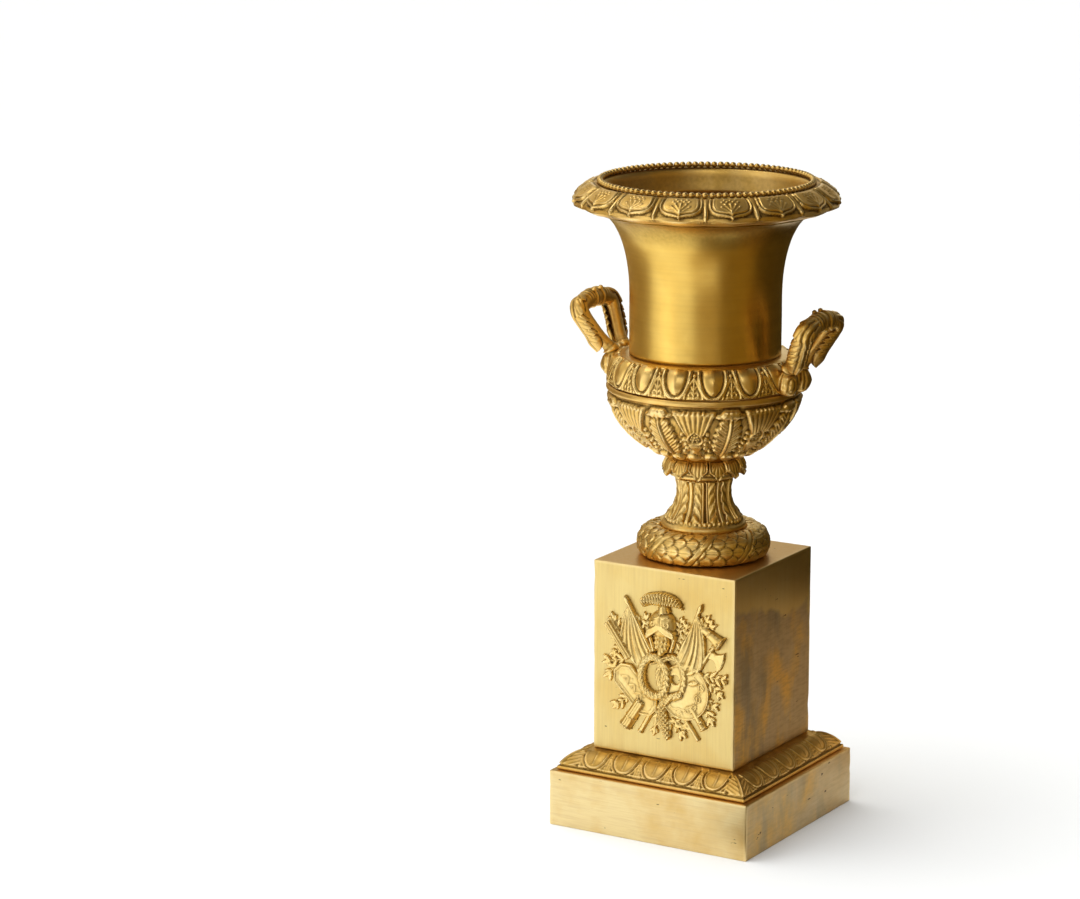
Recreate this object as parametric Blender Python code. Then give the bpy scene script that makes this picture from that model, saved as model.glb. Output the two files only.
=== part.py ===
"""Gilt-bronze mantel urn: a flared two-handled vase on a square plinth with a trophy of arms.

The frame is in metres, +Z up, with its origin at the centre of the slab's underside. The two
handles stand on the X axis and the trophy is on the plinth's -Y face.
"""
import math

import bmesh
import bpy
from mathutils import Matrix, Vector

MM = 0.001
GAP = 0.3 * MM              # clearance between pieces that touch

# square plinth
SLAB_HALF = 67.0 * MM
SLAB_TOP = 34.0 * MM
SLAB_BEVEL = 0.5 * MM
MOULD_BOTTOM_HALF = 63.7 * MM
MOULD_TOP_HALF = 50.2 * MM
MOULD_FILLET = 2.2 * MM
MOULD_TOP = 46.2 * MM
MOULD_TONGUES = 5
TONGUE_RELIEF = 1.0 * MM
BLOCK_HALF = 47.7 * MM
BLOCK_TOP = 162.6 * MM
BLOCK_BEVEL = 0.4 * MM

# foot
TORUS_RADIUS = 29.5 * MM
TORUS_Z = 170.2 * MM
TORUS_SECTION = 9.3 * MM
TORUS_STEPS = 5
STEM_BASE_RADIUS = 24.7 * MM
STEM_BASE_TOP = 183.0 * MM
BUD_TOP = 187.5 * MM
WAIST_RADIUS = 16.2 * MM
WAIST_Z = 201.5 * MM
STEM_TOP_RADIUS = 17.2 * MM
STEM_TOP = 209.8 * MM
FLUTES = 12
FOOT_COLUMNS = 3 * FLUTES
FLUTE_DEPTH = 1.3 * MM
LAUREL_RELIEF = 0.5 * MM

# collar of leaves between foot and bowl
COLLAR_RADIUS = 23.2 * MM
COLLAR_Z = 215.0 * MM
COLLAR_TIP_Z = 212.8 * MM
NECK_RADIUS = 16.6 * MM
NECK_TOP = 226.2 * MM
COLLAR_LEAVES = 12
LEAF_RELIEF = 0.8 * MM

# bowl, shoulder and barrel
BOWL_BOTTOM_RADIUS = 27.0 * MM
BOWL_RADIUS = 57.0 * MM
BOWL_CURVE_TOP = 262.8 * MM
BOWL_BAND_RADIUS = 58.2 * MM
BOWL_TOP = 266.9 * MM
BOWL_WALL = 3.0 * MM
MOTIFS = 16
BOWL_RELIEF = 1.2 * MM
SHOULDER_RADIUS = 57.6 * MM
SHOULDER_TOP_RADIUS = 46.4 * MM
SHOULDER_TOP = 284.8 * MM
EGG_RELIEF = 1.2 * MM
BARREL_RADIUS = 44.9 * MM
BARREL_WALL = 2.5 * MM
FLARE_START = 320.0 * MM
FLARE_TOP = 369.7 * MM
FLARE_RADIUS = 66.0 * MM
BARREL_COLUMNS = 40

# rim and beads
MOUTH_RADIUS = 60.5 * MM
RIM_RADIUS = 78.6 * MM
RIM_EDGE_LOW = 374.4 * MM
RIM_EDGE_HIGH = 377.2 * MM
RIM_TOP_RADIUS = 65.0 * MM
RIM_TOP = 386.2 * MM
RIM_LEAF_RELIEF = 0.9 * MM
BEAD_RADIUS = 1.95 * MM
BEAD_RING_RADIUS = 62.4 * MM
BEAD_COLUMNS = 51

# handles
HANDLE_SOCKET = Vector((58.5, 12.6, 268.0)) * MM
HANDLE_NECK = Vector((60.2, 13.4, 279.5)) * MM
HANDLE_BEND = Vector((75.0, 19.6, 303.0)) * MM
HANDLE_BAR = Vector((78.4, 0.0, 312.2)) * MM
SOCKET_RADIUS = 7.2 * MM
STALK_RADIUS = 3.5 * MM
LEAF_RADIUS = 6.5 * MM
BAR_RADIUS = 4.6 * MM

# trophy of arms, as (x, z) places on the plinth's front face with z above the face's foot
TROPHY_BACK = BLOCK_HALF + GAP
TROPHY_FOOT = MOULD_TOP
SHEET = 1.7 * MM            # thickness of a shield
CLOTH = 2.3 * MM            # thickness of a flag
WREATHS = ((-5.0, 51.3, 8.7, 11.9, 2.9), (6.6, 52.3, 6.9, 12.0, 2.6))
HELMET = (0.0, 85.3, 9.2, 9.6, 5.6)
BEARD = (-0.4, 73.6, 5.4, 7.6, 3.9)
PLUME_LOBES = 7


def clear_scene():
    for item in list(bpy.data.objects):
        bpy.data.objects.remove(item, do_unlink=True)


def gilt(name, colour, roughness):
    material = bpy.data.materials.new(name)
    material.use_nodes = True
    shader = material.node_tree.nodes["Principled BSDF"]
    shader.inputs["Base Color"].default_value = (*colour, 1.0)
    shader.inputs["Roughness"].default_value = roughness
    shader.inputs["Metallic"].default_value = 1.0
    return material


def add_object(name, form, material):
    """Turn a bmesh into a named object with its faces pointing out."""
    bmesh.ops.recalc_face_normals(form, faces=form.faces[:])
    mesh = bpy.data.meshes.new(name)
    form.to_mesh(mesh)
    form.free()
    mesh.materials.append(material)
    item = bpy.data.objects.new(name, mesh)
    bpy.context.scene.collection.objects.link(item)
    return item


def smooth(item, degrees):
    item.data.shade_smooth()
    item.data.set_sharp_from_angle(angle=math.radians(degrees))


def hidden(item):
    """Mark a cutter or a guide, which isn't a piece of the urn."""
    item.hide_render = True
    item.display_type = "WIRE"
    return item


def box(name, half, low, high, bevel, material):
    form = bmesh.new()
    place = Matrix.Translation((0.0, 0.0, (low + high) / 2))
    size = Matrix.Diagonal((2 * half, 2 * half, high - low, 1.0))
    bmesh.ops.create_cube(form, size=1.0, matrix=place @ size)
    item = add_object(name, form, material)
    edge = item.modifiers.new("edge", "BEVEL")
    edge.width = bevel
    edge.segments = 1
    return item


def turned(name, outline, columns, material, relief=None):
    """Carry an outline of (radius, height, carving weight) round Z.

    A closed outline gives a ring. An outline that starts and ends on the axis gives a solid
    with a pole at each end. The relief is a function of angle and row, in metres.
    """
    form = bmesh.new()
    rows = []
    for row, (radius, height, weight) in enumerate(outline):
        if radius == 0.0:
            rows.append([form.verts.new((0.0, 0.0, height))])
            continue
        ring = []
        for column in range(columns):
            angle = 2 * math.pi * column / columns
            lift = weight * relief(angle, row, column) if relief and weight else 0.0
            reach = radius + lift
            ring.append(form.verts.new((reach * math.cos(angle), reach * math.sin(angle), height)))
        rows.append(ring)
    closed = outline[0][0] > 0.0
    pairs = list(zip(rows, rows[1:]))
    if closed:
        pairs.append((rows[-1], rows[0]))
    for lower, upper in pairs:
        for column in range(columns):
            after = (column + 1) % columns
            if len(lower) == 1:
                form.faces.new((lower[0], upper[after], upper[column]))
            elif len(upper) == 1:
                form.faces.new((lower[column], lower[after], upper[0]))
            else:
                form.faces.new((lower[column], lower[after], upper[after], upper[column]))
    return add_object(name, form, material)


def arc(centre, radius, start, end, steps, weight=0.0):
    """Points of a circular or elliptical arc, angles in degrees from the +radius direction."""
    wide, high = radius if isinstance(radius, tuple) else (radius, radius)
    points = []
    for step in range(steps + 1):
        angle = math.radians(start + (end - start) * step / steps)
        points.append((centre[0] + wide * math.cos(angle), centre[1] + high * math.sin(angle), weight))
    return points


def waves(count, sharpness=1.0):
    """Raised ribs that repeat round the axis, 1 on each rib and 0 half way between."""
    def lift(angle, row, column):
        return (0.5 + 0.5 * math.cos(count * angle)) ** sharpness
    return lift


# ---------------------------------------------------------------- plinth

def moulding_outline():
    """Half-width and height of the leaf moulding, from its lower fillet to its upper one."""
    low = SLAB_TOP + GAP
    fillet_top = low + MOULD_FILLET
    step = 1.2 * MM
    rise = MOULD_TOP - 1.2 * MM - fillet_top
    run = MOULD_BOTTOM_HALF - step - MOULD_TOP_HALF
    outline = [(MOULD_BOTTOM_HALF, low, 0.0), (MOULD_BOTTOM_HALF, fillet_top, 0.0)]
    for part in (0.0, 0.35, 0.7, 1.0):
        half = MOULD_BOTTOM_HALF - step - run * part
        height = fillet_top + rise * math.sin(part * math.pi / 2) ** 0.8
        outline.append((half, height, math.sin(part * math.pi)))
    outline.append((MOULD_TOP_HALF, MOULD_TOP, 0.0))
    return outline


def build_moulding(material):
    """A mitred square frame, filled in, with tongues along each side and a leaf at each corner."""
    form = bmesh.new()
    cells = 4 * (MOULD_TONGUES + 1)
    rings = []
    for half, height, weight in moulding_outline():
        ring = []
        for side in range(4):
            turn = Matrix.Rotation(side * math.pi / 2, 3, "Z")
            for cell in range(cells):
                along = 2 * cell / cells - 1
                lift = weight * TONGUE_RELIEF * math.cos(math.pi * cell / 4) ** 2
                reach = half + 0.5 * lift
                point = turn @ Vector((reach * along, -reach, height + 0.8 * lift))
                ring.append(form.verts.new(point))
        rings.append(ring)
    for lower, upper in zip(rings, rings[1:]):
        for index in range(len(lower)):
            after = (index + 1) % len(lower)
            form.faces.new((lower[index], lower[after], upper[after], upper[index]))
    form.faces.new(rings[0])
    form.faces.new(rings[-1])
    item = add_object("base_moulding", form, material)
    smooth(item, 35)
    return item


# ---------------------------------------------------------------- foot and collar

def build_foot(material):
    """Laurel torus, plain fillet, buds and a waisted stem with flutes."""
    base = BLOCK_TOP + GAP
    start = math.degrees(math.asin((base - TORUS_Z) / TORUS_SECTION))
    end = 180 - math.degrees(math.acos((TORUS_RADIUS - STEM_BASE_RADIUS) / TORUS_SECTION))
    outline = [(0.0, base, 0.0)]
    outline += arc((TORUS_RADIUS, TORUS_Z), TORUS_SECTION, start, end, TORUS_STEPS)
    outline.append((STEM_BASE_RADIUS, STEM_BASE_TOP, 0.0))
    outline.append((STEM_BASE_RADIUS - 1.2 * MM, BUD_TOP - 2.0 * MM, 0.0))
    rise = (WAIST_Z - BUD_TOP, STEM_TOP - WAIST_Z)
    for part in (-1.0, -0.7, -0.35, 0.1, 0.6, 1.0):
        lower = part < 0
        flare = (STEM_BASE_RADIUS - 3.6 * MM if lower else STEM_TOP_RADIUS) - WAIST_RADIUS
        height = WAIST_Z + part * (rise[0] if lower else rise[1])
        outline.append((WAIST_RADIUS + flare * abs(part) ** 2.4, height, 1.0))
    outline.append((0.0, STEM_TOP, 0.0))
    torus_rows = range(2, TORUS_STEPS + 1)

    def relief(angle, row, column):
        return FLUTE_DEPTH * (math.cos(FLUTES * angle) - 1) / 2

    item = turned("foot", outline, FOOT_COLUMNS, material, relief)
    raise_laurel(item, FOOT_COLUMNS, torus_rows)
    smooth(item, 30)
    return item


def raise_laurel(item, columns, rows):
    """Lift every other point of the torus outwards, as the tips of overlapping leaves."""
    for row in rows:
        for column in range(columns):
            if (row + column) % 2:
                continue
            vertex = item.data.vertices[1 + (row - 1) * columns + column]
            flat = Vector((vertex.co.x, vertex.co.y, 0.0))
            centre = flat.normalized() * TORUS_RADIUS + Vector((0.0, 0.0, TORUS_Z))
            vertex.co += (vertex.co - centre).normalized() * LAUREL_RELIEF


def build_collar(material):
    """A drooping ring of pointed leaves under the bowl, on a short neck."""
    base = STEM_TOP + GAP
    outline = [(0.0, base, 0.0), (STEM_TOP_RADIUS + 0.3 * MM, base, 0.0)]
    outline.append((COLLAR_RADIUS - 2.0 * MM, COLLAR_TIP_Z, 0.4))
    outline.append((COLLAR_RADIUS - 0.3 * MM, COLLAR_TIP_Z + 0.7 * MM, 0.8))
    for degrees in (0, 30, 60, 82):
        turn = math.radians(degrees)
        radius = NECK_RADIUS + (COLLAR_RADIUS - NECK_RADIUS) * math.cos(turn)
        height = COLLAR_Z + (NECK_TOP - 2.0 * MM - COLLAR_Z) * math.sin(turn)
        outline.append((radius, height, math.cos(turn)))
    outline.append((NECK_RADIUS, NECK_TOP, 0.0))
    outline.append((0.0, NECK_TOP, 0.0))

    def relief(angle, row, column):
        return LEAF_RELIEF * (waves(COLLAR_LEAVES, 0.7)(angle, row, column) - 0.6)

    item = turned("collar", outline, 3 * COLLAR_LEAVES, material, relief)
    smooth(item, 30)
    return item


# ---------------------------------------------------------------- vessel

def bowl_curve(part, inset=0.0):
    """Radius and height on the bowl's side, part 0 at the lobed bottom edge and 1 at the top."""
    base = NECK_TOP + GAP
    depth = math.cos(part * math.pi / 2)
    swell = (1 - depth ** 1.9) ** 0.85
    radius = BOWL_BOTTOM_RADIUS + (BOWL_RADIUS - BOWL_BOTTOM_RADIUS) * swell
    return radius - inset, BOWL_CURVE_TOP - (BOWL_CURVE_TOP - base) * depth


def build_bowl(material):
    """A hollow cup with sixteen leaves on its side, a lobed edge below and a plain band above."""
    base = NECK_TOP + GAP
    outline = [(0.0, base, 0.0), (NECK_RADIUS, base, 0.0), (BOWL_BOTTOM_RADIUS - 3.0 * MM, base, 0.5)]
    for part in (0.0, 0.28, 0.46, 0.64, 0.82, 1.0):
        radius, height = bowl_curve(part)
        outline.append((radius, height, math.sin(math.pi * (0.15 + 0.8 * part))))
    outline.append((BOWL_BAND_RADIUS, BOWL_CURVE_TOP + 0.5 * MM, 0.0))
    outline.append((BOWL_BAND_RADIUS, BOWL_TOP, 0.0))
    outline.append((BOWL_BAND_RADIUS - 1.4 * BOWL_WALL, BOWL_TOP, 0.0))
    for part in (0.75, 0.45):
        radius, height = bowl_curve(part, 1.2 * BOWL_WALL)
        outline.append((radius, height + 0.5 * BOWL_WALL, 0.0))
    outline.append((BOWL_BOTTOM_RADIUS - BOWL_WALL, base + BOWL_WALL, 0.0))
    outline.append((0.0, base + BOWL_WALL, 0.0))

    def relief(angle, row, column):
        return BOWL_RELIEF * (waves(MOTIFS)(angle, row, column) - 0.5)

    item = turned("bowl", outline, 3 * MOTIFS, material, relief)
    smooth(item, 30)
    return item


def shoulder_radius(part):
    """Outer radius of the egg band, an ovolo from its foot (0) to its top (1)."""
    return SHOULDER_TOP_RADIUS + (SHOULDER_RADIUS - SHOULDER_TOP_RADIUS) * math.cos(part * math.pi / 2) ** 0.9


def build_shoulder(material):
    """The ovolo of eggs, open inside."""
    low = BOWL_TOP + GAP
    outline = []
    for part in (0.0, 0.15, 0.4, 0.65, 0.85, 1.0):
        height = low + (SHOULDER_TOP - low) * math.sin(part * math.pi / 2)
        outline.append((shoulder_radius(part), height, math.sin(math.pi * part)))
    inner_top = BARREL_RADIUS - BARREL_WALL
    outline.append((inner_top, SHOULDER_TOP, 0.0))
    outline.append((inner_top, SHOULDER_TOP - 2 * BARREL_WALL, 0.0))
    outline.append((BOWL_BAND_RADIUS - 1.4 * BOWL_WALL, low, 0.0))

    def relief(angle, row, column):
        return EGG_RELIEF * (waves(MOTIFS)(angle, row, column) - 0.4)

    item = turned("shoulder_ring", outline, 3 * MOTIFS, material, relief)
    smooth(item, 30)
    return item


def flare_radius(height):
    """Outer radius of the barrel: straight, then a quarter ellipse out to the lip."""
    if height <= FLARE_START:
        return BARREL_RADIUS
    part = min(1.0, (height - FLARE_START) / (FLARE_TOP - FLARE_START))
    return FLARE_RADIUS - (FLARE_RADIUS - BARREL_RADIUS) * math.sqrt(1 - part * part)


def build_barrel(material):
    """The plain flared body, a thin wall open at both ends."""
    low = SHOULDER_TOP + GAP
    rise = FLARE_TOP - FLARE_START
    heights = [low, FLARE_START] + [FLARE_START + rise * part for part in (0.35, 0.62, 0.82, 0.95)]
    outline = [(flare_radius(height), height, 0.0) for height in heights]
    outline.append((FLARE_RADIUS - 1.0 * MM, FLARE_TOP, 0.0))
    outline.append((MOUTH_RADIUS, FLARE_TOP, 0.0))
    for part in (0.9, 0.7, 0.4, 0.0):
        height = FLARE_START + rise * part
        outline.append((flare_radius(height) - BARREL_WALL, height, 0.0))
    outline.append((BARREL_RADIUS - BARREL_WALL, low, 0.0))
    item = turned("barrel", outline, BARREL_COLUMNS, material)
    smooth(item, 30)
    return item


def build_rim(material):
    """The overhanging lip of lotus leaves."""
    low = FLARE_TOP + GAP
    outline = [(MOUTH_RADIUS, low, 0.0), (FLARE_RADIUS + 0.5 * MM, low, 0.0)]
    outline.append((RIM_RADIUS - 1.8 * MM, RIM_EDGE_LOW - 1.0 * MM, 0.0))
    outline.append((RIM_RADIUS, RIM_EDGE_LOW, 0.3))
    outline.append((RIM_RADIUS, RIM_EDGE_HIGH, 0.3))
    for part in (0.3, 0.65):
        radius = RIM_RADIUS + (RIM_TOP_RADIUS - RIM_RADIUS) * part
        height = RIM_EDGE_HIGH + (RIM_TOP - RIM_EDGE_HIGH) * part ** 0.85
        outline.append((radius, height, 1.0))
    outline.append((RIM_TOP_RADIUS, RIM_TOP, 0.0))
    outline.append((MOUTH_RADIUS, RIM_TOP, 0.0))

    def relief(angle, row, column):
        return RIM_LEAF_RELIEF * (waves(MOTIFS, 0.7)(angle, row, column) - 0.6)

    item = turned("rim", outline, 3 * MOTIFS, material, relief)
    smooth(item, 30)
    return item


def build_bead_ring(material):
    """The string of beads round the mouth, as one half-round ring."""
    centre = (BEAD_RING_RADIUS, RIM_TOP + GAP + 0.55 * BEAD_RADIUS)
    outline = [(BEAD_RING_RADIUS - 0.84 * BEAD_RADIUS, RIM_TOP + GAP, 0.0)]
    outline.append((BEAD_RING_RADIUS + 0.84 * BEAD_RADIUS, RIM_TOP + GAP, 0.0))
    outline += arc(centre, BEAD_RADIUS, 30, 150, 2)
    item = turned("bead_ring", outline, BEAD_COLUMNS, material)
    smooth(item, 40)
    return item


# ---------------------------------------------------------------- handles

def handle_path(steps):
    """Centre line of one handle, from its front socket over the bar to its back socket."""
    half = [HANDLE_SOCKET, HANDLE_NECK, HANDLE_BEND, HANDLE_BAR]
    corner = Vector((HANDLE_BAR.x + 0.8 * MM, HANDLE_BEND.y + 1.2 * MM, HANDLE_BAR.z))
    points = []
    for step in range(steps):
        points.append(half[0].lerp(half[1], step / steps))
    for step in range(steps):
        points.append(half[1].lerp(half[2], step / steps))
    for step in range(2 * steps):
        part = step / (2 * steps)
        first = half[2].lerp(corner, part)
        points.append(first.lerp(corner.lerp(half[3], part), part))
    back = [Vector((point.x, -point.y, point.z)) for point in points]
    return points + [half[3]] + back[::-1]


def handle_radius(place, count):
    """Thickness along the handle: leafy socket, ring, stalk, acanthus leaf, then the bar."""
    part = 1 - abs(2 * place / (count - 1) - 1)
    stops = ((0.0, SOCKET_RADIUS * 0.8), (0.1, SOCKET_RADIUS), (0.2, SOCKET_RADIUS * 0.8),
             (0.26, STALK_RADIUS * 1.2), (0.32, STALK_RADIUS), (0.4, LEAF_RADIUS),
             (0.7, LEAF_RADIUS), (0.85, BAR_RADIUS), (0.95, BAR_RADIUS), (1.0, BAR_RADIUS * 1.1))
    for (low, thin), (high, thick) in zip(stops, stops[1:]):
        if part <= high:
            return thin + (thick - thin) * (part - low) / (high - low)
    return stops[-1][1]


def build_handle(name, side, material, cutter):
    """A swept loop of varying thickness, cut so that its sockets lie on the egg band."""
    path = handle_path(4)
    sides = 8
    form = bmesh.new()
    rings = []
    for place, point in enumerate(path):
        ahead = path[min(place + 1, len(path) - 1)] - path[max(place - 1, 0)]
        forward = ahead.normalized()
        out = Vector((0.85, 0.0, 0.5))
        out = (out - forward * out.dot(forward)).normalized()
        across = forward.cross(out)
        radius = handle_radius(place, len(path))
        ring = []
        for corner in range(sides):
            turn = 2 * math.pi * corner / sides
            spot = point + radius * (math.cos(turn) * out + math.sin(turn) * across)
            ring.append(form.verts.new((side * spot.x, spot.y, spot.z)))
        rings.append(ring)
    for first, second in zip(rings, rings[1:]):
        for corner in range(sides):
            after = (corner + 1) % sides
            form.faces.new((first[corner], first[after], second[after], second[corner]))
    form.faces.new(rings[0])
    form.faces.new(rings[-1])
    item = add_object(name, form, material)
    seat = item.modifiers.new("seat", "BOOLEAN")
    seat.operation = "DIFFERENCE"
    seat.object = cutter
    smooth(item, 40)
    return item


def handle_cutter(material):
    """The space of the bowl, the egg band and the barrel, a gap larger than they are."""
    spare = EGG_RELIEF + GAP
    low = BOWL_TOP + GAP
    outline = [(0.0, BOWL_CURVE_TOP - 12 * MM, 0.0)]
    outline.append((BOWL_BAND_RADIUS + spare, BOWL_CURVE_TOP - 12 * MM, 0.0))
    for part in (0.0, 0.25, 0.5, 0.75, 1.0):
        height = low + (SHOULDER_TOP - low) * math.sin(part * math.pi / 2)
        outline.append((shoulder_radius(part) + spare, height + 2 * spare * part, 0.0))
    outline.append((0.0, SHOULDER_TOP + 2 * spare, 0.0))
    return hidden(turned("handle_cutter", outline, 48, material))


# ---------------------------------------------------------------- trophy of arms

def spot(x, z, lift):
    """A point in front of the plinth, from millimetres across, millimetres up and a lift."""
    return Vector((x * MM, -TROPHY_BACK - lift, TROPHY_FOOT + z * MM))


def add_bump(form, x, z, wide, high, lift, sides=10, rings=5):
    """A rounded boss: an ellipsoid whose middle lies in the plinth's face."""
    place = Matrix.Translation(spot(x, z, 0.0))
    size = Matrix.Diagonal((wide * MM, lift * MM, high * MM, 1.0))
    bmesh.ops.create_uvsphere(form, u_segments=sides, v_segments=rings, radius=1.0, matrix=place @ size)


def add_plate(form, points, thick):
    """A flat shape with the given outline, standing proud by its thickness."""
    back = [form.verts.new(spot(x, z, -MM)) for x, z in points]
    front = [form.verts.new(spot(x, z, thick)) for x, z in points]
    for index in range(len(points)):
        after = (index + 1) % len(points)
        form.faces.new((back[index], back[after], front[after], front[index]))
    form.faces.new(back)
    form.faces.new(front)


def add_rod(form, start, end, radius, end_radius=None, sides=6):
    """A straight bar lying half sunk in the face, from one (x, z) place to another."""
    first = spot(*start, 0.0)
    along = spot(*end, 0.0) - first
    turn = along.to_track_quat("Z", "Y").to_matrix().to_4x4()
    place = Matrix.Translation(first + along / 2) @ turn
    thin = radius if end_radius is None else end_radius
    bmesh.ops.create_cone(form, cap_ends=True, segments=sides, radius1=radius * MM, radius2=thin * MM,
                          depth=along.length, matrix=place)


def add_leaf(form, x, z, heading, length, width, lift):
    """A pointed leaf with a ridge down its middle."""
    turn = math.radians(heading)
    ahead = Vector((math.cos(turn), math.sin(turn)))
    aside = Vector((-ahead.y, ahead.x))
    start = Vector((x, z))
    middle = start + ahead * length * 0.45
    root = form.verts.new(spot(*start, 0.0))
    tip = form.verts.new(spot(*(start + ahead * length), 0.3 * MM))
    left = form.verts.new(spot(*(middle + aside * width / 2), 0.2 * MM))
    right = form.verts.new(spot(*(middle - aside * width / 2), 0.2 * MM))
    crest = form.verts.new(spot(*middle, lift * MM))
    keel = form.verts.new(spot(*middle, -MM))
    for side in (crest, keel):
        form.faces.new((root, left, side))
        form.faces.new((left, tip, side))
        form.faces.new((tip, right, side))
        form.faces.new((right, root, side))


def add_sprig(form, start, end, leaves, length):
    """A stem with pairs of leaves that lean forwards."""
    add_rod(form, start, end, 0.8, 0.5, 4)
    run = Vector(end) - Vector(start)
    heading = math.degrees(math.atan2(run.y, run.x))
    for leaf in range(leaves):
        place = Vector(start) + run * (leaf + 0.6) / leaves
        lean = 42 if leaf % 2 else -42
        add_leaf(form, place.x, place.y, heading + lean, length, length * 0.42, 1.8)
    add_leaf(form, *(Vector(end) - run * 0.12), heading, length, length * 0.4, 1.8)


def add_wreath(form, x, z, wide, high, thick):
    """An oval ring of round section, half sunk in the face."""
    around, section = 16, 5
    rings = []
    for step in range(around):
        turn = 2 * math.pi * step / around
        ring = []
        for corner in range(section):
            tip = 2 * math.pi * corner / section
            reach = thick * math.cos(tip)
            lift = (1.3 + thick * math.sin(tip)) * MM
            ring.append(form.verts.new(spot(x + (wide + reach) * math.cos(turn),
                                            z + (high + reach) * math.sin(turn), lift)))
        rings.append(ring)
    for step in range(around):
        first, second = rings[step], rings[(step + 1) % around]
        for corner in range(section):
            after = (corner + 1) % section
            form.faces.new((first[corner], first[after], second[after], second[corner]))


def turned_outline(points, x, z, degrees):
    """An outline in millimetres, turned and then moved."""
    turn = math.radians(degrees)
    return [(x + px * math.cos(turn) - pz * math.sin(turn), z + px * math.sin(turn) + pz * math.cos(turn))
            for px, pz in points]


def add_shields(form):
    """A long octagon on the left and a round shield on the right, both under the wreaths."""
    long, short, cut = 18.0, 8.0, 5.0
    octagon = [(-long, -short + cut), (-long + cut, -short), (long - cut, -short), (long, -short + cut),
               (long, short - cut), (long - cut, short), (-long + cut, short), (-long, short - cut)]
    add_plate(form, turned_outline(octagon, -18.0, 41.0, -46), SHEET)
    disc = [(15.4 + 16.8 * math.cos(math.radians(turn)), 44.4 + 17.4 * math.sin(math.radians(turn)))
            for turn in range(-160, 81, 20)]
    add_plate(form, disc, SHEET)


def add_helmet(form):
    """Dome with a pointed brow, a beard of leaves under it and an arched crest of plumes."""
    add_bump(form, *HELMET, sides=10, rings=6)
    add_bump(form, *BEARD, sides=8, rings=4)
    brow = [(-8.8, 76.0), (-9.4, 80.4), (0.0, 86.0), (9.4, 80.6), (8.8, 77.0), (0.0, 81.2)]
    add_plate(form, brow, 5.2 * MM)
    add_rod(form, (-8.2, 78.0), (-5.6, 67.0), 0.9)
    add_rod(form, (8.4, 79.0), (6.2, 68.0), 0.9)
    for lobe in range(PLUME_LOBES):
        turn = math.radians(172 - 154 * lobe / (PLUME_LOBES - 1))
        add_bump(form, -0.8 + 13.4 * math.cos(turn), 94.2 + 6.6 * math.sin(turn), 2.4, 3.6, 3.2, 6, 4)
    add_plate(form, [(-12.0, 95.5), (-3.0, 91.5), (3.0, 91.5), (11.0, 94.5), (3.0, 100.5), (-5.0, 100.5)],
              1.6 * MM)


def add_flags(form):
    """Two furled flags on crossed poles with spear points."""
    left = [(-27.3, 94.0), (-28.4, 82.0), (-27.0, 69.0), (-22.5, 60.0), (-16.5, 57.0), (-10.0, 60.0),
            (-9.5, 68.0), (-15.0, 77.0), (-21.5, 86.0)]
    right = [(24.6, 97.0), (27.4, 84.0), (28.2, 72.0), (26.0, 60.5), (17.0, 57.0), (10.5, 62.0),
             (12.5, 71.0), (18.5, 82.0)]
    add_plate(form, left, CLOTH)
    add_plate(form, right, CLOTH)
    add_rod(form, (-28.0, 95.5), (-8.0, 66.0), 0.9)
    add_rod(form, (24.5, 97.0), (10.0, 60.0), 0.9)
    add_leaf(form, -26.6, 93.5, 124, 5.0, 2.6, 1.8)
    add_leaf(form, 23.9, 95.5, 72, 6.0, 3.0, 1.8)


def add_weapons(form):
    """Rods, horn, axe and quiver that spread from behind the shields."""
    add_rod(form, (-36.8, 80.0), (-22.0, 60.0), 3.4)
    add_rod(form, (24.0, 87.5), (39.6, 77.0), 0.9, 3.6)
    add_rod(form, (22.0, 55.0), (35.0, 75.5), 1.3)
    add_plate(form, [(32.0, 68.0), (34.6, 73.0), (38.0, 70.5), (41.8, 71.0), (40.0, 65.5), (36.5, 60.5),
                     (35.8, 66.0)], 1.5 * MM)
    add_rod(form, (-15.0, 33.0), (-24.8, 18.0), 3.4)
    add_rod(form, (-6.0, 32.0), (-14.6, 15.4), 1.4)
    add_rod(form, (13.0, 31.0), (24.6, 16.4), 1.2)
    add_rod(form, (20.0, 36.0), (28.6, 23.4), 1.9)


def add_foliage(form):
    """Laurel sprigs round the edge and the garland that hangs below the knot."""
    add_sprig(form, (26.0, 57.0), (42.0, 56.0), 4, 7.6)
    add_sprig(form, (-24.0, 58.5), (-39.0, 52.0), 3, 7.4)
    add_sprig(form, (-22.0, 37.0), (-32.0, 30.5), 2, 6.4)
    add_sprig(form, (27.0, 40.0), (33.5, 31.0), 2, 6.6)
    add_sprig(form, (3.0, 26.0), (14.0, 17.0), 2, 6.4)
    add_sprig(form, (24.0, 82.0), (30.0, 91.0), 2, 5.4)
    add_sprig(form, (-29.0, 76.0), (-34.0, 85.0), 2, 5.4)
    add_sprig(form, (-8.0, 78.0), (-12.0, 89.0), 2, 4.6)
    add_sprig(form, (10.0, 64.0), (17.0, 86.0), 3, 5.4)
    add_bump(form, -1.2, 65.0, 4.6, 3.0, 3.8, 6, 4)
    add_bump(form, -0.2, 34.0, 3.4, 5.4, 3.2, 6, 4)
    add_bump(form, 1.2, 26.0, 3.6, 5.6, 3.0, 6, 4)
    add_bump(form, 2.8, 18.0, 3.2, 5.2, 2.6, 6, 4)


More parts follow.
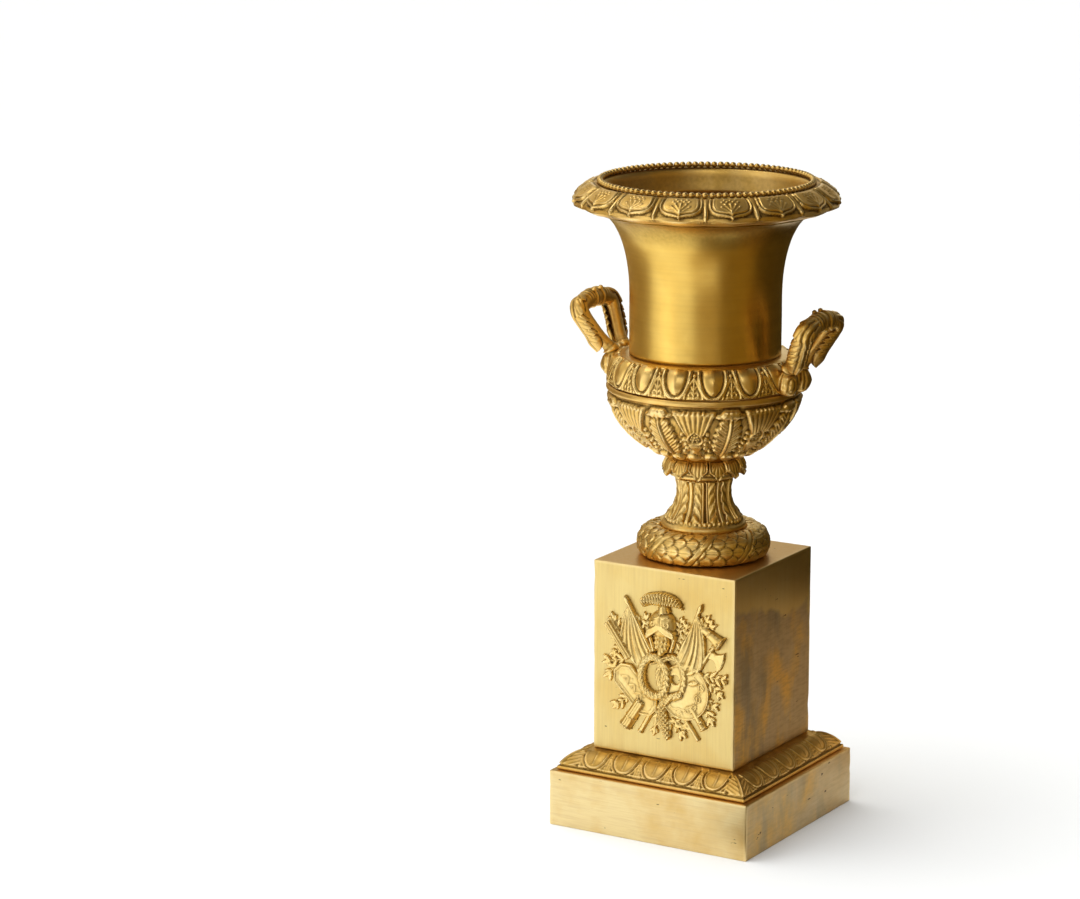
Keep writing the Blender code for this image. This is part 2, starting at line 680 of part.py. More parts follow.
def build_trophy(material):
    """One cast relief: all its shapes joined, then cut flat where it lies on the plinth."""
    form = bmesh.new()
    add_wreath(form, *WREATHS[0])
    trophy = add_object("trophy_mount", form, material)
    form = bmesh.new()
    add_wreath(form, *WREATHS[1])
    add_shields(form)
    add_helmet(form)
    add_flags(form)
    add_weapons(form)
    add_foliage(form)
    shapes = hidden(add_object("trophy_shapes", form, material))
    join = trophy.modifiers.new("join", "BOOLEAN")
    join.operation = "UNION"
    join.object = shapes
    join.use_self = True
    form = bmesh.new()
    place = Matrix.Translation((0.0, 0.01 - TROPHY_BACK, TROPHY_FOOT + 0.06))
    bmesh.ops.create_cube(form, size=1.0, matrix=place @ Matrix.Diagonal((0.2, 0.02, 0.2, 1.0)))
    wall = hidden(add_object("trophy_wall", form, material))
    trim = trophy.modifiers.new("trim", "BOOLEAN")
    trim.operation = "DIFFERENCE"
    trim.object = wall
    smooth(trophy, 35)
    return trophy


def main():
    clear_scene()
    gilding = (0.80, 0.56, 0.20)
    chased = (0.72, 0.47, 0.14)
    box("base_slab", SLAB_HALF, 0.0, SLAB_TOP, SLAB_BEVEL, gilt("slab_gilding", gilding, 0.42))
    build_moulding(gilt("moulding_gilding", chased, 0.40))
    box("pedestal_block", BLOCK_HALF, MOULD_TOP + GAP, BLOCK_TOP, BLOCK_BEVEL,
        gilt("block_gilding", gilding, 0.45))
    build_foot(gilt("foot_gilding", chased, 0.38))
    build_collar(gilt("collar_gilding", chased, 0.38))
    build_bowl(gilt("bowl_gilding", chased, 0.38))
    build_shoulder(gilt("shoulder_gilding", chased, 0.36))
    build_barrel(gilt("barrel_gilding", gilding, 0.30))
    build_rim(gilt("rim_gilding", chased, 0.36))
    build_bead_ring(gilt("bead_gilding", gilding, 0.30))
    handle_gilding = gilt("handle_gilding", chased, 0.38)
    build_trophy(gilt("trophy_gilding", chased, 0.38))
    cutter = handle_cutter(handle_gilding)
    build_handle("handle_left", -1, handle_gilding, cutter)
    build_handle("handle_right", 1, handle_gilding, cutter)


main()
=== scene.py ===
import math

import bpy
import numpy as np
from mathutils import Matrix, Vector


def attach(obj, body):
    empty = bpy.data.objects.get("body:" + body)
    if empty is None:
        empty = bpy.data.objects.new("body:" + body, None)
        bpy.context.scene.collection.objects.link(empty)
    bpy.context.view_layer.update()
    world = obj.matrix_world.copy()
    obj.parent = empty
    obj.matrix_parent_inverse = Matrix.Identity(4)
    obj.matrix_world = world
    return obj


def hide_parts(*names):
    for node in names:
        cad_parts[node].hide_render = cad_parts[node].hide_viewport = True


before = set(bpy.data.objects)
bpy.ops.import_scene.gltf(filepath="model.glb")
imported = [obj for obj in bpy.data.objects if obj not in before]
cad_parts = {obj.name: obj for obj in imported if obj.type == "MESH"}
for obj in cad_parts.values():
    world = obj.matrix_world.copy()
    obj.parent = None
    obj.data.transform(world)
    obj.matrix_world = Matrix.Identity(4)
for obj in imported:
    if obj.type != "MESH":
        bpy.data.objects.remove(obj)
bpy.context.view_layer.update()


# the camera's place in metres, its turn in degrees and its lens
cameraSet = {
    "place": (1.0193, -1.8452, 0.7008),
    "turnLeft": 31.57,
    "tiltDown": 12.708,
    "roll": -0.080,
    "lens": 121.15,
}


def makeCamera():
    # three directions at right angles, from the turn, the tilt and the roll, set side by side in a matrix
    left = math.radians(cameraSet["turnLeft"])
    down = math.radians(cameraSet["tiltDown"])
    roll = math.radians(cameraSet["roll"])
    ahead = Vector((-math.sin(left) * math.cos(down), math.cos(left) * math.cos(down), -math.sin(down)))
    side = Vector((math.cos(left), math.sin(left), 0.0))
    top = side.cross(ahead)
    turnedSide = side * math.cos(roll) + top * math.sin(roll)
    turnedTop = top * math.cos(roll) - side * math.sin(roll)
    camera = bpy.data.objects.new("camera", bpy.data.cameras.new("camera"))
    camera.data.lens = cameraSet["lens"]
    camera.data.sensor_width = 36.0
    camera.data.clip_start = 0.05
    camera.data.clip_end = 60.0
    place = Matrix((turnedSide, turnedTop, -ahead)).transposed().to_4x4()
    place.translation = Vector(cameraSet["place"])
    camera.matrix_world = place
    bpy.context.scene.collection.objects.link(camera)
    bpy.context.scene.camera = camera


# floor, lamps and the dark cards that only the metal sees: painted reflections, and on the floor a painted shadow
studioSet = {
    "floorSize": 40.0,
    "floorColour": (0.90, 0.925, 0.955, 1.0),
    "roomLeft": (0.98, 0.95, 0.88, 1.0),
    "roomRight": (0.10, 0.095, 0.085, 1.0),
    "roomTop": (0.50, 0.46, 0.37, 1.0),
    "skyPower": 2.85,
    "skySpread": 110.0,
    "keyPlace": (-0.56, -1.00, 0.55),
    "keySize": (0.44, 1.1),
    "keyPower": 1.05,
    "topPlace": (-0.56, -0.36, 1.70),
    "topSize": (0.8, 0.8),
    "topPower": 3.7,
    "fillPlace": (0.52, -0.98, 1.02),
    "fillSize": (0.6, 0.5),
    "fillPower": 1.5,
    "frontTone": (0.36, 0.262, 0.10),
    "nearTone": (0.13, 0.092, 0.03),
    "sideTone": (0.20, 0.136, 0.028),
    "backTone": (0.054, 0.037, 0.008),
    "lowTone": (0.60, 0.49, 0.34),
    "leftTone": (0.46, 0.34, 0.17),
    "exposure": 0.0,
    "gamma": 0.9,
    "cardPoints": 24,        # along each curved card
}


def flatPaint(name, colour):
    # one plain colour with hardly any shine
    paint = bpy.data.materials.new(name)
    paint.use_nodes = True
    shader = paint.node_tree.nodes["Principled BSDF"]
    shader.inputs["Base Color"].default_value = (*colour[:3], 1.0)
    shader.inputs["Roughness"].default_value = 1.0
    shader.inputs["Specular IOR Level"].default_value = 0.1
    return paint


def stagePiece(name, points, faces, paint):
    # a part of the room, which isn't part of the urn
    mesh = bpy.data.meshes.new(name)
    mesh.from_pydata(points, [], faces)
    mesh.materials.append(paint)
    item = bpy.data.objects.new(name, mesh)
    bpy.context.scene.collection.objects.link(item)
    return item


def hideCard(card):
    # the card shows only in reflections
    card.visible_camera = False
    card.visible_shadow = False
    card.visible_diffuse = False


def darkCard(name, reach, start, end, low, high, colour):
    # an upright arc of card round the urn, angles in degrees from the front towards +X
    count = studioSet["cardPoints"]
    turn = np.radians(np.linspace(start, end, count))
    ring = np.stack((reach * np.sin(turn), -reach * np.cos(turn)), axis=1)
    points = [(x, y, z) for z in (low, high) for x, y in ring]
    faces = [(step, step + 1, step + count + 1, step + count) for step in range(count - 1)]
    hideCard(stagePiece(name, points, faces, flatPaint(name, colour)))


def floorCard(name, near, far, start, end, colour):
    # part of a flat ring just over the floor, angles as for the upright cards
    count = studioSet["cardPoints"]
    turn = np.radians(np.linspace(start, end, count))
    points = [(reach * np.sin(step), -reach * np.cos(step), 0.002) for reach in (near, far) for step in turn]
    faces = [(step, step + count, step + count + 1, step + 1) for step in range(count - 1)]
    hideCard(stagePiece(name, points, faces, flatPaint(name, colour)))


def lamp(name, kind, place, aim, power, size=None):
    # a light that looks from its place at its aim
    light = bpy.data.lights.new(name, kind)
    light.energy = power
    if size:
        light.shape = "RECTANGLE"
        light.size, light.size_y = size
    item = bpy.data.objects.new(name, light)
    item.location = place
    item.rotation_euler = (Vector(place) - Vector(aim)).to_track_quat("Z", "Y").to_euler()
    bpy.context.scene.collection.objects.link(item)
    return item


def makeStudio():
    # white floor, a soft room round it, three boxes of light, and the cards
    half = studioSet["floorSize"] / 2
    corners = [(-half, -half, 0), (half, -half, 0), (half, half, 0), (-half, half, 0)]
    stagePiece("floor", corners, [(0, 1, 2, 3)], flatPaint("floorPaper", studioSet["floorColour"]))
    world = bpy.data.worlds.new("room")
    bpy.context.scene.world = world
    world.use_nodes = True
    # the room is brighter on the left and near the horizon than on the right and overhead
    tree = world.node_tree
    ahead = addNode(tree, "ShaderNodeTexCoord").outputs["Generated"]
    axes = addNode(tree, "ShaderNodeSeparateXYZ", {0: ahead}).outputs
    glow = mixColours(tree, remap(tree, axes[0], -0.75, 0.65, 0.0, 1.0), studioSet["roomLeft"],
                      studioSet["roomRight"])
    glow = mixColours(tree, remap(tree, axes[2], 0.25, 0.85, 0.0, 1.0), glow, studioSet["roomTop"], "MULTIPLY")
    tree.links.new(glow, tree.nodes["Background"].inputs["Color"])
    sky = lamp("skylight", "SUN", (-0.9, -0.7, 2.0), (0, 0, 0), studioSet["skyPower"])
    sky.data.angle = math.radians(studioSet["skySpread"])
    sky.visible_glossy = False
    lamp("keyBox", "AREA", studioSet["keyPlace"], (0, 0, 0.25), studioSet["keyPower"], studioSet["keySize"])
    lamp("topBox", "AREA", studioSet["topPlace"], (0, 0, 0.25), studioSet["topPower"], studioSet["topSize"])
    lamp("fillBox", "AREA", studioSet["fillPlace"], (0, 0, 0.27), studioSet["fillPower"], studioSet["fillSize"])
    # painted reflections: dark, gold-tinted cards that only the metal sees
    darkCard("cardFront", 0.55, 12, 46, 0.12, 0.45, studioSet["frontTone"])
    darkCard("cardRight", 0.30, 46, 100, 0.0, 0.62, studioSet["sideTone"])
    darkCard("cardClose", 0.34, 100, 180, 0.0, 0.36, studioSet["backTone"])
    darkCard("cardBack", 0.80, 100, 232, 0.0, 0.24, studioSet["backTone"])
    darkCard("cardLow", 0.17, 104, 216, 0.0, 0.10, studioSet["lowTone"])
    darkCard("cardLeft", 0.60, -132, -58, 0.0, 0.50, studioSet["leftTone"])
    # painted shadow: dark floor cards that only the metal reflects, in place of the urn's shadow round its foot
    floorCard("cardFloorNear", 0.105, 0.36, 14, 52, studioSet["nearTone"])
    floorCard("cardFloorFront", 0.36, 0.55, 4, 60, studioSet["frontTone"])
    floorCard("cardFloorBack", 0.18, 0.40, 52, 200, studioSet["backTone"])
    view = bpy.context.scene.view_settings
    view.view_transform = "Standard"
    view.exposure = studioSet["exposure"]
    view.gamma = studioSet["gamma"]


# working tools; every shape below is worked out in millimetres

def smoothStep(low, high, value):
    # 0 under low, 1 over high, and 3t^2 - 2t^3 between
    part = np.clip((value - low) / (high - low), 0.0, 1.0)
    return part * part * (3 - 2 * part)


def dome(distance, reach):
    # the round of a ball: sqrt(1 - (distance / reach)^2), 0 outside
    return np.sqrt(np.clip(1 - (distance / reach) ** 2, 0.0, 1.0))


def bank(distance, reach):
    # a soft round ridge, (1 - (distance / reach)^2)^2 inside its reach
    return np.clip(1 - (distance / reach) ** 2, 0.0, 1.0) ** 2


def lineDistance(x, y, line):
    # distance to the nearest point of a bent line
    nearest = np.full(np.broadcast(x, y).shape, 1e6)
    for (startX, startY), (endX, endY) in zip(line[:-1], line[1:]):
        runX, runY = endX - startX, endY - startY
        along = ((x - startX) * runX + (y - startY) * runY) / (runX * runX + runY * runY)
        along = np.clip(along, 0.0, 1.0)
        nearest = np.minimum(nearest, np.hypot(x - startX - along * runX, y - startY - along * runY))
    return nearest


def bentLine(points, count=24):
    # a Catmull-Rom curve through the points
    points = np.asarray(points, float)
    padded = np.vstack((2 * points[0] - points[1], points, 2 * points[-1] - points[-2]))
    place = np.linspace(0, len(points) - 1, count)
    first = np.minimum(place.astype(int), len(points) - 2)
    t = (place - first)[:, None]
    before, start, end, after = (padded[first + step] for step in range(4))
    return 0.5 * (2 * start + (end - before) * t + (2 * before - 5 * start + 4 * end - after) * t ** 2
                  + (3 * start - before - 3 * end + after) * t ** 3)


def evenPoints(points, count, last=False):
    # points at equal steps along a bent line
    points = np.asarray(points, float)
    steps = np.linalg.norm(np.diff(points, axis=0), axis=1)
    travelled = np.concatenate(([0.0], np.cumsum(steps)))
    stops = np.linspace(0, travelled[-1], count, endpoint=last)
    return np.stack([np.interp(stops, travelled, points[:, axis]) for axis in range(points.shape[1])], axis=1)


def travel(profile):
    # distance along a profile from its first point
    steps = np.linalg.norm(np.diff(profile, axis=0), axis=1)
    return np.concatenate(([0.0], np.cumsum(steps)))


def roughCast(across, along, size, seed):
    # slow unevenness of a hand-finished casting: eight sines of mixed direction, about -1 to 1
    random = np.random.default_rng(seed)
    total = np.zeros(np.broadcast(across, along).shape)
    waves = zip(random.uniform(0, 6.28, 8), random.uniform(0, 6.28, 8), random.uniform(0.6, 1.9, 8))
    for turn, shift, stretch in waves:
        total += np.sin((across * math.cos(turn) + along * math.sin(turn)) * 6.28 / (size * stretch) + shift)
    return total / 4


def stipple(across, along, size, seed=1):
    # punched dots: two crossed waves at a slant
    first = np.sin((across + 0.37 * along) * 6.28 / size + seed)
    second = np.sin((along - 0.41 * across) * 6.28 / size + 2 * seed)
    return np.clip(first * second, -0.2, 1.0)


def surroundings(height, reach):
    # the average height over a square of places, the columns joined end to end
    around = height
    for axis in (0, 1):
        pad = [(0, 0), (0, 0)]
        pad[axis] = (reach, reach)
        total = np.cumsum(np.pad(around, pad, mode="wrap" if axis == 1 else "edge"), axis=axis)
        total = np.insert(total, 0, 0.0, axis=axis)
        wide = 2 * reach + 1
        if axis == 0:
            around = (total[wide:] - total[:-wide]) / wide
        else:
            around = (total[:, wide:] - total[:, :-wide]) / wide
    return around


def hollows(height, reach, depth):
    # how far each place lies under its wide and its close surroundings: 0.5 level, 1 in a deep cut
    below = (surroundings(height, reach) - height) + 0.9 * (surroundings(height, 2) - height)
    return np.clip(0.5 + below / (2 * depth), 0.0, 1.0)


def turnedSurface(profile, height, closed):
    # each profile point pushed out along its own normal by the relief, then carried round Z;
    # columns run from the front (-Y) towards +X
    ahead = np.roll(profile, -1, axis=0) - np.roll(profile, 1, axis=0)
    if not closed:
        ahead[0] = profile[1] - profile[0]
        ahead[-1] = profile[-1] - profile[-2]
    ahead /= np.linalg.norm(ahead, axis=1)[:, None]
    radius = profile[:, :1] + ahead[:, 1:] * height
    level = profile[:, 1:] - ahead[:, :1] * height
    turn = 2 * math.pi * np.arange(height.shape[1]) / height.shape[1]
    return np.stack((radius * np.sin(turn), -radius * np.cos(turn), level), axis=-1)


def gridFaces(rows, columns, closedRows, closedColumns):
    # four corners for each square of a grid whose points are numbered row by row
    row = np.arange(rows if closedRows else rows - 1)[:, None]
    column = np.arange(columns if closedColumns else columns - 1)[None, :]
    nextRow = (row + 1) % rows
    nextColumn = (column + 1) % columns
    corners = (row * columns + column, row * columns + nextColumn,
               nextRow * columns + nextColumn, nextRow * columns + column)
    return np.stack(np.broadcast_arrays(*corners), axis=-1).reshape(-1, 4)


def cappedFaces(rows, columns):
    # a grid closed round its columns, each end closed onto one of the two points that follow the grid
    column = np.arange(columns)
    after = (column + 1) % columns
    last = (rows - 1) * columns
    foot = np.stack((np.full(columns, rows * columns), after, column), axis=1)
    head = np.stack((last + column, last + after, np.full(columns, rows * columns + 1)), axis=1)
    return gridFaces(rows, columns, False, True), np.vstack((foot, head))


def makePiece(name, points, quads, triangles, hollow, paint, nodes):
    # puts a worked-out surface into a mesh, in metres, in place of the named parts of the frame
    mesh = bpy.data.meshes.new(name)
    mesh.vertices.add(len(points))
    mesh.vertices.foreach_set("co", (np.asarray(points) * 0.001).ravel())
    triangles = np.asarray(triangles, dtype=int).reshape(-1, 3)
    corners = np.concatenate((quads.ravel(), triangles.ravel()))
    starts = np.concatenate((4 * np.arange(len(quads)), 4 * len(quads) + 3 * np.arange(len(triangles))))
    mesh.loops.add(len(corners))
    mesh.loops.foreach_set("vertex_index", corners.astype(np.int32))
    mesh.polygons.add(len(starts))
    mesh.polygons.foreach_set("loop_start", starts.astype(np.int32))
    mesh.update(calc_edges=True)
    mesh.attributes.new("hollow", "FLOAT", "POINT").data.foreach_set("value", np.asarray(hollow, float).ravel())
    mesh.shade_smooth()
    mesh.materials.append(paint)
    item = bpy.data.objects.new(name, mesh)
    bpy.context.scene.collection.objects.link(item)
    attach(item, "root")
    if nodes:
        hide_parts(*nodes)
    print("%s: %d triangles" % (name, 2 * len(quads) + len(triangles)))
    return item


def turnedPiece(name, profile, height, hollow, paint, nodes, closed=True):
    # a ring when its profile is closed, otherwise a solid with a pole at each end of its profile
    grid = turnedSurface(profile, height, closed)
    rows, columns = height.shape
    quads, triangles = gridFaces(rows, columns, True, True), []
    points = grid.reshape(-1, 3)
    if not closed:
        quads, triangles = cappedFaces(rows, columns)
        poles = [(0, 0, grid[0, :, 2].mean()), (0, 0, grid[-1, :, 2].mean())]
        points = np.vstack((points, poles))
        hollow = np.concatenate((hollow.ravel(), (0.5, 0.5)))
    return makePiece(name, points, quads, triangles, hollow, paint, nodes)


# materials: fire-gilt bronze, with painted shade and duller gilding in its hollows and a painted highlight on its high
# edges

def addNode(tree, kind, inputs=None, **settings):
    # a shader node with its sockets either joined to another node or set to a value
    item = tree.nodes.new(kind)
    for key, value in settings.items():
        setattr(item, key, value)
    for key, value in (inputs or {}).items():
        if isinstance(value, bpy.types.NodeSocket):
            tree.links.new(value, item.inputs[key])
        else:
            item.inputs[key].default_value = value
    return item


def mixColours(tree, part, first, second, kind="MIX"):
    # first where the part is 0, second where it is 1
    item = addNode(tree, "ShaderNodeMix", {0: part, 6: first, 7: second}, data_type="RGBA", blend_type=kind)
    return item.outputs[2]


def remap(tree, value, low, high, newLow, newHigh):
    # a straight line from low to newLow and from high to newHigh, held level outside
    item = addNode(tree, "ShaderNodeMapRange",
                   {"Value": value, "From Min": low, "From Max": high, "To Min": newLow, "To Max": newHigh})
    return item.outputs[0]


def cloudNoise(tree, place, scale, detail=4.0, stretch=(1, 1, 1)):
    # soft noise, drawn out into streaks where its three scales differ
    moved = addNode(tree, "ShaderNodeMapping", {"Vector": place, "Scale": stretch})
    noise = addNode(tree, "ShaderNodeTexNoise", {"Vector": moved.outputs[0], "Scale": scale, "Detail": detail})
    return noise.outputs["Fac"]


giltSet = {
    "bright": (0.90, 0.63, 0.235, 1),     # rubbed and burnished places
    "warm": (0.80, 0.525, 0.145, 1),      # the usual tone
    "edge": (1.0, 0.80, 0.42, 1),         # painted highlight on the high edges
    "shade": (0.15, 0.088, 0.020, 1),     # painted shade in the hollows
}


def giltPaint(name, shine=0.30, dull=0.46, shadeAmount=0.85, patches=(0.35, 0.65), brush=None, brushDepth=0.0,
              grain=0.12, bright=None, warm=None):
    # patches of two golds, painted shade where the surface is hollow and a painted highlight where it stands high
    paint = bpy.data.materials.new(name)
    paint.use_nodes = True
    tree = paint.node_tree
    shader = tree.nodes["Principled BSDF"]
    shader.inputs["Metallic"].default_value = 1.0
    place = addNode(tree, "ShaderNodeTexCoord").outputs["Object"]
    clouds = remap(tree, cloudNoise(tree, place, 70.0, 5.0), patches[0], patches[1], 0.0, 1.0)
    specks = remap(tree, cloudNoise(tree, place, 520.0, 3.0), 0.35, 0.7, 0.0, 1.0)
    colour = mixColours(tree, clouds, bright or giltSet["bright"], warm or giltSet["warm"])
    hollow = addNode(tree, "ShaderNodeAttribute", attribute_name="hollow").outputs["Fac"]
    deep = remap(tree, hollow, 0.5, 1.0, 0.0, shadeAmount)
    # painted shade: the hollows are mixed towards a dark brown, unevenly
    paintedShade = addNode(tree, "ShaderNodeMath", {0: deep, 1: remap(tree, specks, 0, 1, 0.75, 1.1)}, operation="MULTIPLY")
    colour = mixColours(tree, paintedShade.outputs[0], colour, giltSet["shade"])
    # painted highlight: places that stand high are mixed towards a pale gold
    colour = mixColours(tree, remap(tree, hollow, 0.38, 0.08, 0.0, 0.55), colour, giltSet["edge"])
    tree.links.new(colour, shader.inputs["Base Color"])
    rubbed = remap(tree, hollow, 0.15, 0.75, shine, dull)
    uneven = addNode(tree, "ShaderNodeMath", {0: rubbed, 1: remap(tree, specks, 0, 1, 0.0, 0.07)}, operation="ADD")
    tree.links.new(uneven.outputs[0], shader.inputs["Roughness"])
    fine = cloudNoise(tree, place, 1500.0, 3.0)
    bump = addNode(tree, "ShaderNodeBump", {"Height": fine, "Strength": grain, "Distance": 0.0002})
    if brush:
        lines = cloudNoise(tree, place, 1.0, 4.0, brush)
        broad = cloudNoise(tree, place, 1.0, 4.0, (brush[0], brush[1], 0.25 * brush[2]))
        tinted = mixColours(tree, remap(tree, broad, 0.42, 0.70, 0.0, 0.16), colour, (0.58, 0.36, 0.09, 1))
        tree.links.new(tinted, shader.inputs["Base Color"])
        bump = addNode(tree, "ShaderNodeBump", {"Height": lines, "Strength": brushDepth, "Distance": 0.0002,
                                                "Normal": bump.outputs[0]})
    tree.links.new(bump.outputs[0], shader.inputs["Normal"])
    return paint


# rim: sixteen lotus leaves that point outwards over a stippled edge, with ribbed tongues between
rimSet = {
    "leaves": 16,
    "firstTip": 17.4,        # degrees from the front towards +X
    "columnsPerLeaf": 62,
    "leafRise": 0.85,
    "edgeRise": 0.85,
    "groundDepth": 1.05,
}


def cellGrid(count, first, perCell):
    # one cell's angles from its middle and the angles of all the columns, in degrees
    turn = 360.0 * np.arange(count * perCell) / (count * perCell)
    cell = (turn - first) * count / 360.0
    return (cell - np.round(cell)) * 360.0 / count, turn


def makeRim():
    # v runs up the slope from the rim's edge, x runs round it from each leaf's middle, both in mm;
    # a leaf swells with the distance inside its outline, and the stippled ground lies lower
    under = evenPoints([(57.4, 370.3), (66.4, 370.0), (70.0, 371.4), (76.2, 373.0), (77.5, 373.7)], 6)
    edge = evenPoints([(77.9, 374.3), (78.1, 376.4)], 8)
    slope = evenPoints(bentLine([(78.35, 376.8), (76.6, 378.9), (72.4, 382.3), (68.4, 384.9), (65.3, 386.1)]), 42)
    top = evenPoints([(65.0, 386.1), (64.6, 385.5), (61.1, 385.5), (60.8, 385.0), (59.3, 378.0), (57.4, 371.2)], 10)
    profile = np.vstack((under, edge, slope, top))
    offset, turn = cellGrid(rimSet["leaves"], rimSet["firstTip"], rimSet["columnsPerLeaf"])
    rows = np.arange(len(profile))
    startRow = len(under) + len(edge)
    v = (travel(profile) - travel(profile)[startRow])[:, None]
    x = np.radians(offset)[None, :] * profile[:, :1]
    outline = bentLine([(0.0, -1.4), (1.0, 0.0), (3.8, 1.0), (8.0, 1.9), (11.2, 4.0), (12.4, 7.2), (12.1, 11.0),
                        (11.3, 14.2), (10.9, 18.0)], 40)
    wide = np.interp(v, outline[:, 1], outline[:, 0])
    inside = np.where(v > -1.4, np.sign(wide - np.abs(x)), -1.0)
    near = lineDistance(np.abs(x), v, outline) * inside
    onSlope = smoothStep(-3.4, -2.6, v) * (1 - smoothStep(14.4, 15.6, v))
    leaf = smoothStep(-0.35, 0.35, near)
    swell = rimSet["leafRise"] * smoothStep(0.0, 4.5, near)
    lip = rimSet["edgeRise"] * bank(near - 0.55, 0.75)
    height = leaf * (swell + lip + 0.25) - (1 - leaf) * rimSet["groundDepth"] * smoothStep(-2.5, 0.3, v)
    dots = stipple(x, v, 1.15)
    height += (1 - leaf) * 0.16 * dots * (1 - smoothStep(2.4, 3.4, v))
    pitch = math.radians(360.0 / rimSet["leaves"]) * profile[:, :1]
    gap = pitch / 2 - np.abs(x)
    tongueWide = np.interp(v, [-2.8, -1.6, 1.0, 6.0, 12.0, 14.5], [0.1, 0.9, 1.3, 1.5, 1.8, 1.8])
    tongue = smoothStep(0.0, 0.5, tongueWide - gap)
    ribs = 0.42 * np.abs(np.cos(gap / np.maximum(tongueWide, 0.5) * 2.4)) ** 0.7
    tongueHeight = tongue * (0.35 + ribs) - rimSet["groundDepth"] * 0.4
    height = np.where(tongue > 0, np.maximum(height, tongueHeight), height)
    height += leaf * (0.34 * bank(near - 2.7, 0.7) - 0.3 * bank(near - 1.7, 0.6))
    # flower of three stems with buds
    stemX = np.abs(x)
    for line, thick in (([(0, -0.6), (0, 8.4)], 0.5), (bentLine([(0.2, 3.6), (1.6, 6.4), (3.0, 8.6)], 8), 0.4),
                        (bentLine([(0.2, 2.0), (2.4, 4.6), (4.9, 6.8)], 8), 0.3)):
        mark = bank(lineDistance(stemX, v, line), 2 * thick)
        height = height + 0.34 * leaf * mark
    for place, size in (((0.0, 9.6), 1.0), ((3.2, 9.4), 0.95), ((1.7, 11.4), 0.85), ((0.0, 12.4), 0.8),
                        ((4.6, 11.2), 0.8), ((3.1, 12.8), 0.7), ((5.2, 7.4), 0.7)):
        away = np.hypot(stemX - place[0], v - place[1])
        height = height + 0.45 * leaf * dome(away, size)
    height = height * onSlope
    scallop = 0.5 * np.cos(np.radians(offset) * rimSet["leaves"]) * np.exp(-((rows - len(under)) / 3.0) ** 2)[:, None]
    height = height + scallop + 0.07 * roughCast(turn[None, :] * 1.2, v, 9.0, 3) * onSlope
    hollow = hollows(height, 5, 0.6)
    # painted shade on the inner wall of the mouth
    hollow = np.where((profile[:, :1] < 60.0) & (profile[:, 1:] > 370.8), 0.66, hollow)
    paint = giltPaint("rimGilt", shine=0.28, dull=0.46, shadeAmount=0.97)
    turnedPiece("rimLeaves", profile, height, hollow, paint, ["rim"])


# beads round the mouth, on a thin ring
beadSet = {"beads": 102, "ringRadius": 62.4, "beadRadius": 1.93, "level": 387.35, "bands": 7, "sides": 12}


def makeBeads():
    # one ball, sin(up) wide and -cos(up) high, set down again and again round the ring
    count, bands, sides = beadSet["beads"], beadSet["bands"], beadSet["sides"]
    up = np.linspace(0, math.pi, bands + 2)[1:-1]
    around = np.linspace(0, 2 * math.pi, sides, endpoint=False)
    ball = np.stack((np.sin(up)[:, None] * np.cos(around), np.sin(up)[:, None] * np.sin(around),
                     -np.cos(up)[:, None] * np.ones(sides)), axis=-1).reshape(-1, 3)
    ball = np.vstack((ball, (0, 0, -1), (0, 0, 1)))
    ballQuads, ballTriangles = cappedFaces(bands, sides)
    random = np.random.default_rng(5)
    turn = 2 * math.pi * (np.arange(count) + random.uniform(-0.05, 0.05, count)) / count
    size = beadSet["beadRadius"] * random.uniform(0.95, 1.0, count)
    centre = np.stack((beadSet["ringRadius"] * np.sin(turn), -beadSet["ringRadius"] * np.cos(turn),
                       np.full(count, beadSet["level"])), axis=1)
    points = (centre[:, None, :] + size[:, None, None] * ball[None]).reshape(-1, 3)
    shift = len(ball) * np.arange(count)[:, None, None]
    quads = (ballQuads[None] + shift).reshape(-1, 4)
    triangles = (ballTriangles[None] + shift).reshape(-1, 3)
    # painted shade under each bead and a painted highlight on its top
    hollow = np.clip(0.62 - 0.5 * np.tile(ball[:, 2], count), 0, 1)
    paint = giltPaint("beadGilt", shine=0.22, dull=0.4)
    beads = makePiece("beads", points, quads, triangles, hollow, paint, ["bead_ring"])
    profile = evenPoints([(60.7, 386.4), (64.1, 386.4), (63.9, 387.0), (60.9, 387.0)], 8)
    height = np.zeros((len(profile), 2 * count))
    # painted shade: the strip under the beads is set deep in shade
    strip = turnedPiece("beadStrip", profile, height, np.full(height.shape, 0.9), paint, [])
    strip.parent = beads


# barrel: a plain turned wall, burnished
barrelSet = {"radius": 44.9, "wall": 2.5, "foot": 285.1, "flareStart": 318.0, "flareTop": 369.7, "lip": 66.0,
             "mouth": 57.1, "columns": 144}


def flareRadius(level):
    # lip - (lip - radius) sqrt(1 - part^2.15), where part goes from 0 to 1 up the flare
    part = np.clip((level - barrelSet["flareStart"]) / (barrelSet["flareTop"] - barrelSet["flareStart"]), 0, 1)
    return barrelSet["lip"] - (barrelSet["lip"] - barrelSet["radius"]) * np.sqrt(1 - part ** 2.15)


